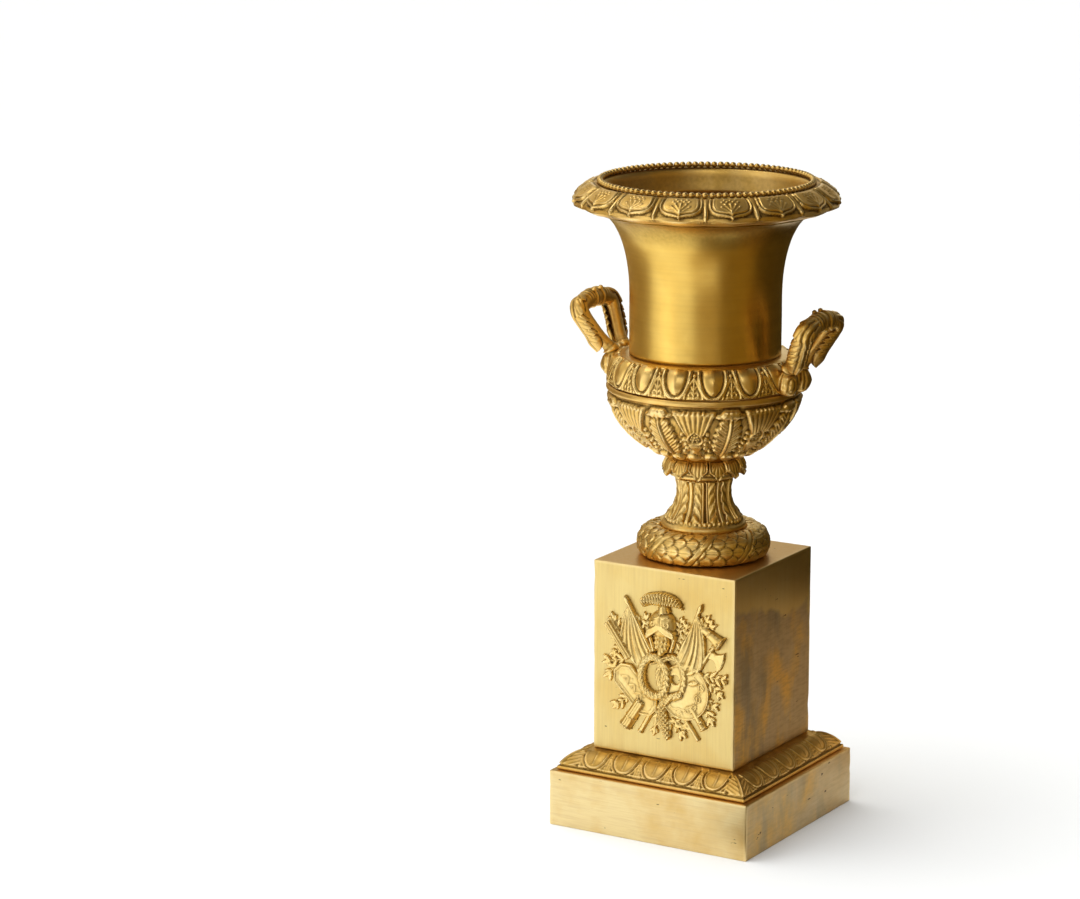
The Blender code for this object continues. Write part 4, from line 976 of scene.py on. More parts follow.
def blockPaint(name, bright, warm, streak, stain, patchSize, worn):
    # brushed gilding with cloudy wear; the +X side is rubbed dull under a slanting line and tarnished above it
    paint = bpy.data.materials.new(name)
    paint.use_nodes = True
    tree = paint.node_tree
    shader = tree.nodes["Principled BSDF"]
    shader.inputs["Metallic"].default_value = 1.0
    place = addNode(tree, "ShaderNodeTexCoord").outputs["Object"]
    wave = cloudNoise(tree, place, 1.0, 5.0, streak)
    clouds = cloudNoise(tree, place, patchSize, 5.0)
    grain = cloudNoise(tree, place, 1.0, 3.0, tuple(2.5 * value for value in streak))
    colour = mixColours(tree, remap(tree, clouds, 0.44, 0.68, 0.0, 1.0), bright, warm)
    colour = mixColours(tree, remap(tree, wave, 0.52, 0.78, 0.0, stain), colour, (0.64, 0.47, 0.27, 1))
    colour = mixColours(tree, remap(tree, grain, 0.40, 0.72, 0.0, 0.22), colour, (0.60, 0.43, 0.20, 1))
    normal = addNode(tree, "ShaderNodeNewGeometry").outputs["Normal"]
    onRight = remap(tree, addNode(tree, "ShaderNodeSeparateXYZ", {0: normal}).outputs[0], 0.6, 0.9, 0.0, 1.0)
    # the line falls from front to back: height + 0.24 * depth, made wavy by slow noise
    axes = addNode(tree, "ShaderNodeSeparateXYZ", {0: place}).outputs
    slant = addNode(tree, "ShaderNodeMath", {0: axes[1], 1: 0.24, 2: axes[2]}, operation="MULTIPLY_ADD").outputs[0]
    drift = addNode(tree, "ShaderNodeMath", {0: cloudNoise(tree, place, 38.0, 4.0), 1: 0.035, 2: slant},
                    operation="MULTIPLY_ADD").outputs[0]
    under = remap(tree, drift, worn[0], worn[0] - 0.005, 0.0, 1.0)
    patches = cloudNoise(tree, place, 1.0, 5.0, (40, 40, 26))
    rubbed = mixColours(tree, remap(tree, patches, 0.47, 0.62, 0.0, 1.0), (0.46, 0.34, 0.20, 1), (0.66, 0.40, 0.10, 1))
    greyer = remap(tree, cloudNoise(tree, place, 1.0, 4.0, (34, 55, 20)), 0.52, 0.66, 0.0, 0.8)
    rubbed = mixColours(tree, greyer, rubbed, (0.25, 0.215, 0.16, 1))
    scratch = remap(tree, cloudNoise(tree, place, 1.0, 4.0, (300, 130, 700)), 0.42, 0.66, 0.0, 0.28)
    rubbed = mixColours(tree, scratch, rubbed, (0.17, 0.13, 0.08, 1))
    tarnished = mixColours(tree, worn[1], colour, (0.46, 0.30, 0.10, 1))
    side = mixColours(tree, under, tarnished, mixColours(tree, worn[2], colour, rubbed))
    colour = mixColours(tree, onRight, colour, side)
    # painted shade: faces that look up are mixed towards a deeper, darker gold
    onTop = remap(tree, addNode(tree, "ShaderNodeSeparateXYZ", {0: normal}).outputs[2], 0.6, 0.9, 0.0, 0.9)
    colour = mixColours(tree, onTop, colour, (0.80, 0.53, 0.20, 1))
    nick = remap(tree, cloudNoise(tree, place, 1.0, 2.0, (110, 110, 420)), 0.735, 0.76, 0.0, 0.85)
    colour = mixColours(tree, nick, colour, (0.07, 0.045, 0.02, 1))
    hollow = addNode(tree, "ShaderNodeAttribute", attribute_name="hollow").outputs["Fac"]
    # painted highlight: the arrises are mixed towards a pale gold
    colour = mixColours(tree, remap(tree, hollow, 0.36, 0.08, 0.0, 0.6), colour, (0.97, 0.80, 0.45, 1))
    tree.links.new(colour, shader.inputs["Base Color"])
    rough = remap(tree, wave, 0.3, 0.7, 0.34, 0.44)
    dull = addNode(tree, "ShaderNodeMath", {0: onRight, 1: under}, operation="MULTIPLY").outputs[0]
    rough = addNode(tree, "ShaderNodeMath", {0: dull, 1: 0.10 * worn[2], 2: rough}, operation="MULTIPLY_ADD").outputs[0]
    tree.links.new(rough, shader.inputs["Roughness"])
    lines = cloudNoise(tree, place, 1.0, 5.0, tuple(4 * value for value in streak))
    bump = addNode(tree, "ShaderNodeBump", {"Height": lines, "Strength": 0.18, "Distance": 0.0003})
    fine = cloudNoise(tree, place, 900.0, 3.0)
    bump = addNode(tree, "ShaderNodeBump", {"Height": fine, "Strength": 0.12, "Distance": 0.0002,
                                            "Normal": bump.outputs[0]})
    tree.links.new(bump.outputs[0], shader.inputs["Normal"])
    return paint


def makeSlab():
    # brushed lengthways
    paint = blockPaint("slabGilt", (0.85, 0.70, 0.385, 1), (0.76, 0.54, 0.22, 1), (30, 30, 520), 0.35, 34.0,
                       (0.10, 0.0, 0.60))
    makeBlock("slab", slabSet, 9, 60, 0.5, paint, ["base_slab"], 21)


def makePedestal():
    # brushed up and down
    paint = blockPaint("blockGilt", (0.80, 0.635, 0.28, 1), (0.76, 0.555, 0.205, 1), (520, 520, 16), 0.12, 22.0,
                       (0.153, 0.45, 0.9))
    makeBlock("pedestal", blockSet, 16, 40, 0.35, paint, ["pedestal_block"], 22)


# leaf moulding: five rounded tongues on each side, darts with beaded fringes, a leaf on each mitre
mouldingSet = {"low": 34.3, "high": 46.2, "pitch": 20.4, "slopeRows": 36, "slopeLong": 15.2, "columnsPerSide": 232,
               "rise": 0.85}


def makeMoulding():
    # v runs up the bow and x along a side from its middle, in mm; the side's surface is worked out once,
    # pushed out along the profile's normal and turned to the four sides, which meet on the mitres
    rowCount, full = mouldingSet["slopeRows"], mouldingSet["slopeLong"]
    p = np.linspace(0, 1, 200)
    bow = np.stack((62.1 - 11.2 * p, 36.9 + 8.0 * np.sin(p * math.pi / 2) ** 0.80), axis=1)
    profile = np.vstack((evenPoints([(20.0, 34.3), (58.0, 34.3), (63.0, 34.3)], 3),
                         evenPoints([(63.55, 34.5), (63.7, 35.2), (63.6, 36.3), (63.3, 36.6), (62.5, 36.7)], 7),
                         evenPoints(bow, rowCount, last=True),
                         evenPoints([(50.6, 45.0), (50.55, 45.9), (50.2, 46.2), (49.0, 46.2), (20.0, 46.2)], 8,
                                    last=True)))
    slopeStart = 10
    slope = (np.arange(len(profile)) >= slopeStart) & (np.arange(len(profile)) < slopeStart + rowCount)
    v = (travel(profile) - travel(profile)[slopeStart])[:, None]
    part = np.linspace(-1, 1, mouldingSet["columnsPerSide"], endpoint=False)[None, :]
    x = part * profile[:, :1]
    pitch = mouldingSet["pitch"]
    cell = np.clip(np.round(x / pitch), -2, 2)
    local = x - cell * pitch
    al = np.abs(local)
    tongue = bentLine([(0.0, 1.7), (2.9, 2.3), (5.4, 4.6), (6.7, 8.2), (6.9, 12.0), (6.6, 16.0)], 24)
    wide = np.interp(v, tongue[:, 1], tongue[:, 0])
    inside = np.where(v > 1.7, np.sign(wide - al), -1.0)
    near = lineDistance(al, v, tongue) * inside
    body = smoothStep(-0.1, 0.4, near)
    bodyHeight = 0.15 + 0.75 * np.sqrt(np.clip(near / 6.0, 0, 1))
    left = smoothStep(-0.3, 0.3, -local + 1.6 * np.sin(v / 5.0) - 0.8)
    bodyHeight = bodyHeight + 0.2 * stipple(x, v, 1.1) * left * smoothStep(0.6, 1.2, near)
    vein = bank(local + 0.8 - 1.6 * np.sin(v / 5.0), 0.75) * smoothStep(2.6, 4.0, v)
    bodyHeight = bodyHeight + 0.5 * vein
    height = np.full(x.shape, -0.55)
    height = np.where(body > 0, np.maximum(height, body * bodyHeight - (1 - body) * 0.55), height)
    height = raiseMark(height, dome(near + 0.1, 0.72), 0.95)
    height = raiseMark(height, dome(near + 2.15, 0.6) * (v > 0.6), 0.55)
    onSide = smoothStep(0.0, 1.0, 2.5 * pitch - np.abs(x))
    # darts with a fringe of small beads
    gap = pitch / 2 - al
    dart = smoothStep(0.0, 0.4, np.interp(v, [1.0, 4.0, 8.0, 12.0, 15.0], [3.2, 2.0, 1.1, 1.2, 2.2]) - gap)
    dartHeight = 0.2 + 0.4 * np.abs(np.cos(1.9 * gap)) + 0.12 * np.sin(3.0 * v)
    height = np.where((dart > 0) & (near < -2.6), np.maximum(height, dart * dartHeight - (1 - dart) * 0.5), height)
    for place in ((0.0, 1.3), (1.35, 1.2), (2.7, 1.1), (4.0, 0.95), (0.0, 3.0), (1.5, 2.8)):
        height = raiseMark(height, dome(np.hypot(gap - place[0], v - place[1]), 0.62), 0.75)
    height = height * onSide - 0.4 * (1 - onSide)
    # mitre leaf: a strong rib on the corner with slanting toothed lobes
    fromCorner = profile[:, :1] - np.abs(x)
    leafWide = np.interp(v, [0.0, 3.0, 7.0, 11.0, 15.5], [9.4, 11.0, 8.6, 5.4, 0.6]) + 0.8 * np.cos(6.28 * v / 3.4)
    leafIn = smoothStep(0.0, 0.8, leafWide - fromCorner)
    veins = np.cos(6.28 * (v - 0.62 * fromCorner) / 3.4)
    leaf = 0.35 + 0.45 * (1 - np.clip(fromCorner / 11.0, 0, 1)) + 0.26 * veins * smoothStep(0.8, 2.2, fromCorner)
    leaf = leaf + 0.55 * bank(fromCorner, 1.3) - 0.3 * bank(fromCorner - 1.5, 0.6)
    height = np.where(leafIn > 0, np.maximum(height * (1 - leafIn), leafIn * leaf), height)
    fade = smoothStep(0.0, 0.8, v) * (1 - smoothStep(full - 1.1, full - 0.5, v))
    height = height * fade - 0.35 * (1 - fade)
    height = np.where(slope[:, None], mouldingSet["rise"] * height, 0.0)
    height = height + 0.05 * roughCast(x, v, 6.0, 14) * slope[:, None]
    ahead = np.gradient(profile, axis=0)
    ahead /= np.linalg.norm(ahead, axis=1)[:, None]
    reach = profile[:, :1] + ahead[:, 1:] * height
    level = profile[:, 1:] - ahead[:, :1] * height
    sides = []
    for step in range(4):
        turn = step * math.pi / 2
        sideX, sideY = x / profile[:, :1] * reach, -reach
        sides.append(np.stack((sideX * math.cos(turn) - sideY * math.sin(turn),
                               sideX * math.sin(turn) + sideY * math.cos(turn), level), axis=-1))
    grid = np.concatenate(sides, axis=1)
    hollow = np.tile(hollows(height, 4, 0.75), (1, 4))
    hollow[:slopeStart] = 0.5
    # painted shade: a dark line where the bow meets the flat below
    hollow[slopeStart - 2:slopeStart + 1] = 0.95
    hollow[slopeStart + rowCount:] = 0.4
    quads, triangles = cappedFaces(*grid.shape[:2])
    points = np.vstack((grid.reshape(-1, 3), (0, 0, mouldingSet["low"]), (0, 0, mouldingSet["high"])))
    hollow = np.concatenate((hollow.ravel(), (0.5, 0.5)))
    paint = giltPaint("mouldingGilt", shine=0.32, dull=0.5)
    makePiece("moulding", points, quads, triangles, hollow, paint, ["base_moulding"])


# handles: a fluted socket, a ring and a bare stalk, a toothed acanthus leaf over it, and a ribbed bar
handleSet = {
    "socket": (58.0, 7.8, 266.6),
    "neck": (60.0, 7.4, 281.8),
    "bend": (72.6, 16.8, 302.6),
    "bar": (76.2, 0.0, 310.6),
    "rows": 200,
    "columns": 62,
    "leafStart": 0.315,      # where the leaf's tip and root stand, as parts of half the path
    "leafEnd": 0.86,
    "leafLong": 34.0,
    "leafRows": 150,
    "leafOuter": 50,         # columns on the leaf's outer face and on its inner one
    "leafInner": 14,
    "toothPitch": 4.3,
}


def handlePath(count):
    # up one stalk, along the bar and down the other, as one smooth curve that mirrors onto itself
    socket, neck, bend, bar = (np.array(handleSet[key]) for key in ("socket", "neck", "bend", "bar"))
    corner = np.array((bar[0] + 0.4, bend[1] + 0.8, bar[2] - 1.2))
    curve = bentLine([socket, 0.5 * (socket + neck), neck, 0.62 * neck + 0.38 * bend + (0.8, 0.2, -0.4),
                      0.85 * bend + 0.15 * neck + (0.6, 0.5, 0.0), 0.4 * bend + 0.6 * corner + (0.3, -0.2, 0),
                      0.40 * corner + 0.60 * bar + (0.2, 0, 0.2), bar], 200)
    half = evenPoints(curve, count // 2)
    return np.vstack((half * (1, -1, 1), [bar], half[::-1]))


def pathFrame(path):
    # the outward direction and the one across it, both square to the path, and the part of the way to the bar
    ahead = np.gradient(path, axis=0)
    ahead /= np.linalg.norm(ahead, axis=1)[:, None]
    part = 1 - np.abs(np.linspace(-1, 1, len(path)))
    outward = np.stack((np.full(len(path), 0.8), np.sign(path[:, 1]) * 0.6 * (1 - smoothStep(0.70, 0.98, part)),
                        0.15 + 0.45 * smoothStep(0.5, 0.9, part)), axis=1)
    outward -= ahead * np.sum(outward * ahead, axis=1)[:, None]
    outward /= np.linalg.norm(outward, axis=1)[:, None]
    return outward, np.cross(ahead, outward), part


def handleCore(path):
    # a tube swept along the path; its radius depends on the place along it and round it
    outward, across, part = pathFrame(path)
    turn = np.linspace(-180, 180, handleSet["columns"], endpoint=False)[None, :]
    at = np.abs(turn)
    t = part[:, None]
    s = t * 62.0
    radius = np.interp(t, [0.0, 0.02, 0.06, 0.11, 0.16, 0.20, 0.218, 0.236, 0.252, 0.268, 0.30, 0.6, 0.74, 0.88, 1.0],
                       [3.6, 5.2, 6.6, 6.9, 6.1, 4.7, 4.2, 5.1, 5.1, 4.1, 3.6, 3.9, 4.9, 5.2, 5.2])
    inSocket = smoothStep(0.02, 0.06, t) * (1 - smoothStep(0.175, 0.21, t))
    flutes = -0.85 * np.abs(np.sin(np.radians(turn) * 6.5)) ** 3 * smoothStep(40, 54, at)
    dropAway = np.hypot(at / 17.0, (t - 0.10) / 0.055)
    drop = 0.55 * bank(dropAway, 1.0) - 0.5 * bank(dropAway - 1.15, 0.3)
    radius = radius + inSocket * (flutes + drop)
    # the bar's cross ribs, its two collars and a bead on each
    onTop = 1 - smoothStep(95, 135, at)
    radius = radius + 0.7 * bank(((s - 50.4) % 2.6) - 1.3, 0.9) * (s > 50.4) * (s < 55.6) * onTop
    radius = radius + 1.0 * bank(s - 58.6, 1.5) + 0.5 * bank(s - 56.6, 0.7)
    radius = radius + 1.5 * dome(np.hypot(s - 58.6, (at - 78) * 0.085), 1.2)
    radius = radius + 0.06 * roughCast(turn / 9.0, s, 5.0, 31)
    angle = np.radians(turn)[..., None]
    grid = path[:, None] + radius[..., None] * (np.cos(angle) * outward[:, None] + np.sin(angle) * across[:, None])
    quads, triangles = cappedFaces(*radius.shape)
    ends = path[[0, -1]] - (0, 0, 1.4)
    # painted shade on the ends of the stalks
    hollow = np.concatenate((hollows(radius, 3, 0.7).ravel(), (0.8, 0.8)))
    return np.vstack((grid.reshape(-1, 3), ends)), quads, triangles, hollow


def handleLeaf(path):
    # a thick leaf bent round the front stalk: its outer face, then its inner face, close into one skin
    outward, across = pathFrame(path)[:2]
    half = len(path) // 2
    long = np.linspace(0, 1, handleSet["leafRows"])
    place = (handleSet["leafStart"] + (handleSet["leafEnd"] - handleSet["leafStart"]) * long) * half
    stops = np.arange(half + 1)
    centre, outward, across = (np.stack([np.interp(place, stops, line[:half + 1, axis]) for axis in range(3)], axis=1)
                               for line in (path, outward, across))
    s = handleSet["leafLong"] * long[:, None]
    outer = np.linspace(-1, 1, handleSet["leafOuter"])
    q = np.concatenate((outer, np.linspace(1, -1, handleSet["leafInner"] + 2)[1:-1]))[None, :]
    front = (np.arange(q.shape[1]) < len(outer))[None, :]
    aq = np.abs(q)
    roundTip = np.sqrt(np.clip(1 - (1 - np.clip(s / 4.2, 0, 1)) ** 2, 0, 1))
    tooth = ((s - 5.0) / handleSet["toothPitch"]) % 1.0
    spread = 104.0 * (0.22 + 0.78 * roundTip) * (1 - 0.24 * tooth ** 1.6 * smoothStep(5.0, 7.0, s))
    spread = spread * (1 - 0.40 * smoothStep(29.0, 34.0, s))
    reach = 5.4 + 0.9 * smoothStep(1.0, 6.0, s) - 1.2 * smoothStep(25.0, 34.0, s)
    vein = (s - 5.0) / handleSet["toothPitch"] - 2.6 * (1 - aq)
    lobes = 0.42 * np.abs(np.sin(math.pi * vein)) ** 0.6 * smoothStep(0.20, 0.42, aq) * smoothStep(3.0, 7.0, s)
    spine = 0.55 * bank(aq, 0.14) - 0.45 * bank(aq - 0.22, 0.09)
    relief = lobes + spine + 0.35 * (1 - aq ** 2) - 0.75 * smoothStep(0.80, 1.0, aq)
    radius = np.where(front, reach + relief, reach - 1.6 + 0.6 * aq - 1.6 * (1 - smoothStep(0.0, 8.0, s)))
    angle = np.radians(spread * q)[..., None]
    lift = (-0.2 + 1.9 * (1 - smoothStep(0.0, 12.0, s)) - 0.2 * smoothStep(26.0, 34.0, s))[..., None]
    grid = centre[:, None] + outward[:, None] * lift
    grid = grid + radius[..., None] * (np.cos(angle) * outward[:, None] + np.sin(angle) * across[:, None])
    quads, triangles = cappedFaces(*radius.shape)
    ends = grid[[0, -1]].mean(axis=1)
    # painted shade on the leaf's inner face, towards the stalk, and on its root end
    hollow = np.where(front, hollows(np.where(front, relief, 0.0), 3, 0.45), 0.72)
    return np.vstack((grid.reshape(-1, 3), ends)), quads, triangles, np.concatenate((hollow.ravel(), (0.5, 0.6)))


def makeHandle(name, side, node):
    # the tube, a leaf and its mirror image in Y as three closed skins in one mesh, mirrored in X for the left
    path = handlePath(handleSet["rows"])
    core, leaf = handleCore(path), handleLeaf(path)
    shells = [core, leaf, (leaf[0] * (1, -1, 1), leaf[1][:, ::-1], leaf[2][:, ::-1], leaf[3])]
    starts = np.cumsum([0] + [len(shell[0]) for shell in shells])
    points = np.vstack([shell[0] for shell in shells]) * (side, 1, 1)
    quads = np.vstack([shell[1] + start for shell, start in zip(shells, starts)])
    triangles = np.vstack([shell[2] + start for shell, start in zip(shells, starts)])
    if side < 0:
        quads, triangles = quads[:, ::-1], triangles[:, ::-1]
    hollow = np.concatenate([shell[3] for shell in shells])
    makePiece(name, points, quads, triangles, hollow, bpy.data.materials["handleGilt"], [node])


def makeHandles():
    # one finish for the pair
    giltPaint("handleGilt", shine=0.28, dull=0.48)
    makeHandle("handleLeft", -1, "handle_left")
    makeHandle("handleRight", 1, "handle_right")


# trophy of arms: one cast relief, worked out as a height over the block's front face;
# places are millimetres across and millimetres above the block's foot
trophySet = {
    "left": -43.0, "right": 43.5, "low": 12.0, "high": 104.6,
    "cell": 0.372,
    "face": 48.0,
    "foot": 46.2,
    "shield": 1.9,
    "cloth": 2.0,
}


def polygonNear(x, z, outline):
    # distance to an outline, positive inside it
    closed = list(outline) + [outline[0]]
    away = lineDistance(x, z, closed)
    inside = np.zeros(x.shape, bool)
    for (startX, startZ), (endX, endZ) in zip(closed[:-1], closed[1:]):
        crosses = (startZ > z) != (endZ > z)
        cut = startX + (z - startZ) * (endX - startX) / (endZ - startZ if endZ != startZ else 1e-9)
        inside ^= crosses & (x < cut)
    return np.where(inside, away, -away)


def rodRelief(height, x, z, start, end, thick, endThick=None, lift=0.0, bands=()):
    # a round bar half sunk in the face, tapering from one end to the other; with the places across and
    # along it, and where it lies
    endThick = thick if endThick is None else endThick
    runX, runZ = end[0] - start[0], end[1] - start[1]
    long = math.hypot(runX, runZ)
    along = ((x - start[0]) * runX + (z - start[1]) * runZ) / long
    across = ((x - start[0]) * -runZ + (z - start[1]) * runX) / long
    reach = thick + (endThick - thick) * np.clip(along / long, 0, 1)
    for place, width, extra in bands:
        reach = reach + extra * bank(along - place * long, width)
    shape = lift + reach * dome(across, reach) * 1.05
    within = (np.abs(across) < reach) & (along > 0) & (along < long)
    return np.where(within, np.maximum(height, shape), height), across, along, within


def layRod(height, x, z, start, end, thick, endThick=None, lift=0.0, bands=()):
    # the surface with the bar on it
    return rodRelief(height, x, z, start, end, thick, endThick, lift, bands)[0]


def layLeaf(height, x, z, place, heading, long, wide, rise, veins=True):
    # a pointed leaf: half-width sin(pi t^0.8), a ridge down the middle and slanting veins
    turn = math.radians(heading)
    along = (x - place[0]) * math.cos(turn) + (z - place[1]) * math.sin(turn)
    across = -(x - place[0]) * math.sin(turn) + (z - place[1]) * math.cos(turn)
    part = np.clip(along / long, 0, 1)
    half = 0.5 * wide * np.sin(math.pi * part ** 0.85) ** 0.8 + 0.01
    side = np.abs(across) / half
    shape = rise * (0.45 + 0.55 * np.sqrt(np.clip(1 - side ** 2, 0, 1))) - 0.35 * bank(across, 0.35)
    if veins:
        shape = shape + 0.12 * np.cos(6.28 * (along - 0.9 * np.abs(across)) / 1.5)
    within = (side < 1) & (along > 0) & (along < long)
    return np.where(within, np.maximum(height, shape), height)


def laySprig(height, x, z, start, end, pairs, long, rise=1.7, wide=0.42):
    # a thin twig with leaves that lean out by turns and one at its tip
    height = layRod(height, x, z, start, end, 0.7, 0.45, 0.3)
    runX, runZ = end[0] - start[0], end[1] - start[1]
    heading = math.degrees(math.atan2(runZ, runX))
    for leaf in range(pairs):
        part = (leaf + 0.6) / pairs
        place = (start[0] + runX * part, start[1] + runZ * part)
        lean = 44 if leaf % 2 else -44
        height = layLeaf(height, x, z, place, heading + lean, long, long * wide, rise)
        height = layLeaf(height, x, z, place, heading - 0.8 * lean, 0.72 * long, long * wide * 0.8, rise * 0.8)
    tip = (end[0] - 0.12 * runX, end[1] - 0.12 * runZ)
    return layLeaf(height, x, z, tip, heading, long, long * wide, rise)


def layWreath(height, x, z, middle, wide, high, thick, rise, seed):
    # an oval ring of overlapping small leaves and berries
    angle = np.arctan2((z - middle[1]) / high, (x - middle[0]) / wide)
    ringX = middle[0] + wide * np.cos(angle)
    ringZ = middle[1] + high * np.sin(angle)
    outside = np.sign((x - middle[0]) ** 2 / wide ** 2 + (z - middle[1]) ** 2 / high ** 2 - 1)
    away = np.hypot(x - ringX, z - ringZ) * outside
    around = angle * (wide + high) / 2
    size = 2 * math.pi * (wide + high) / 2 / 22
    body = rise * dome(away, thick)
    cell = around / size + 0.32 * np.abs(away)
    wave = (cell - np.floor(cell))
    leaves = 0.9 * (wave ** 0.8) * (np.abs(away) < thick) - 0.3
    crossed = np.abs(np.sin(math.pi * (cell + 0.5 * (away > 0))))
    leaves = leaves + 0.45 * crossed - 0.4 * bank(away, 0.35)
    random = np.random.default_rng(seed)
    berries = np.zeros(x.shape)
    for spot in np.arange(22) + random.uniform(-0.3, 0.3, 22):
        turn = 2 * math.pi * spot / 22
        shift = random.uniform(-0.75, 0.75) * thick
        berryX = middle[0] + (wide + shift) * math.cos(turn)
        berryZ = middle[1] + (high + shift) * math.sin(turn)
        berries = np.maximum(berries, (rise + 0.55) * dome(np.hypot(x - berryX, z - berryZ), 0.72))
    shape = np.maximum(body + leaves * smoothStep(thick + 0.1, thick - 0.7, np.abs(away)) * 0.8, berries)
    edge = thick * (0.92 + 0.1 * np.sin(6.28 * cell))
    return np.where((np.abs(away) < edge) | (berries > 0), np.maximum(height, shape), height)


def turnedAt(x, z, middle, degrees):
    # places along and across a direction, from a middle
    turn = math.radians(degrees)
    along = (x - middle[0]) * math.cos(turn) + (z - middle[1]) * math.sin(turn)
    across = -(x - middle[0]) * math.sin(turn) + (z - middle[1]) * math.cos(turn)
    return along, across


def curlLine(middle, start, turns, size, shrink):
    # a spiral from an outer radius inwards
    step = np.linspace(0, 1, 26)
    angle = math.radians(start) + turns * 2 * math.pi * step
    reach = size * (1 - shrink * step)
    return list(zip(middle[0] + reach * np.cos(angle), middle[1] + reach * np.sin(angle)))


def layWeapons(height, x, z):
    # fasces and drum case at the left, horn, axe, quiver and staffs at the right and below
    height, across, along, within = rodRelief(height, x, z, (-37.0, 80.4), (-22.0, 60.0), 3.7, 3.5, 0.5)
    height = np.where(within, height - 0.75 * np.abs(np.sin(across * 1.75)) ** 4, height)
    band = bank(along - 6.6, 0.8) + bank(along - 9.8, 0.8)
    height = np.where(within, np.maximum(height, 1.2 * np.minimum(band, 1) * (2.6 - 0.02 * across ** 2)), height)
    height = layLeaf(height, x, z, (-31.5, 76.0), 128, 9.0, 4.4, 2.2)
    height = layRod(height, x, z, (22.0, 88.0), (39.8, 76.6), 0.8, 4.1, 0.5,
                    bands=((0.97, 1.2, 0.9), (0.55, 0.7, 0.5), (0.3, 0.6, 0.4)))
    mouth = bank(np.hypot(x - 39.2, z - 77.0), 2.4)
    height = height - 1.1 * mouth
    height = layRod(height, x, z, (21.0, 53.5), (35.4, 76.0), 1.2, 1.3, 0.5,
                    bands=((0.82, 0.8, 0.7), (0.93, 0.8, 0.7)))
    axe = [(30.8, 67.0), (33.6, 72.4), (36.2, 70.4), (39.4, 71.0), (42.2, 72.2), (41.6, 66.8), (39.6, 61.6),
           (36.4, 58.6), (35.9, 62.4), (34.8, 65.8)]
    axeNear = polygonNear(x, z, axe)
    blade = 1.7 * smoothStep(0, 0.4, axeNear) - 0.25 * smoothStep(2.5, 0.0, axeNear)
    height = np.where(axeNear > 0, np.maximum(height, blade), height)
    height, across, along, within = rodRelief(height, x, z, (-14.0, 34.5), (-25.0, 17.6), 3.6, 3.9, 0.4,
                                              bands=((0.97, 1.0, 0.5), (0.62, 0.8, 0.4)))
    height = np.where(within, height - 0.4 * np.abs(np.sin(across * 1.6)) ** 4, height)
    height = layRod(height, x, z, (-5.0, 33.0), (-15.0, 15.2), 1.5, 1.6, 0.4, bands=((0.98, 1.2, 0.4),))
    height = layRod(height, x, z, (-3.0, 31.0), (-6.2, 14.6), 1.0, 0.7, 0.4)
    height = layRod(height, x, z, (13.0, 31.5), (24.8, 15.8), 1.3, 1.4, 0.4)
    height = layRod(height, x, z, (20.0, 36.0), (28.6, 23.0), 1.9, 2.3, 0.4, bands=((0.7, 0.7, 0.5), (0.95, 0.9, 0.5)))
    return height


def layFoliage(height, x, z):
    # sprigs that stick out behind the arms: where each starts and ends, its leaf pairs and their length
    for start, end, pairs, long in (((26.0, 56.4), (44.6, 54.8), 5, 6.4), ((-24.0, 59.0), (-37.0, 55.6), 3, 6.4),
                                    ((-29.0, 55.0), (-36.6, 48.6), 2, 6.6), ((31.0, 53.0), (38.4, 46.8), 3, 5.6),
                                    ((-22.0, 37.0), (-31.0, 29.5), 3, 6.0), ((27.0, 40.0), (33.0, 30.0), 3, 6.2),
                                    ((29.0, 43.0), (35.0, 38.5), 2, 5.0), ((3.0, 27.0), (13.6, 18.6), 3, 6.2),
                                    ((6.0, 27.0), (16.0, 23.0), 2, 5.4), ((24.0, 82.0), (29.6, 90.2), 3, 5.4),
                                    ((26.0, 84.0), (33.0, 86.6), 2, 5.0), ((-29.0, 76.0), (-33.0, 82.6), 2, 5.4),
                                    ((-27.0, 66.0), (-33.0, 62.0), 2, 5.2), ((-8.6, 77.0), (-11.4, 86.0), 3, 4.8),
                                    ((-12.0, 76.0), (-17.0, 85.0), 2, 4.4), ((10.0, 64.0), (16.6, 84.6), 6, 5.0),
                                    ((10.0, 78.0), (12.6, 87.6), 3, 4.2), ((-1.0, 31.0), (-4.8, 17.6), 3, 5.4)):
        height = laySprig(height, x, z, start, end, pairs, long)
    return height


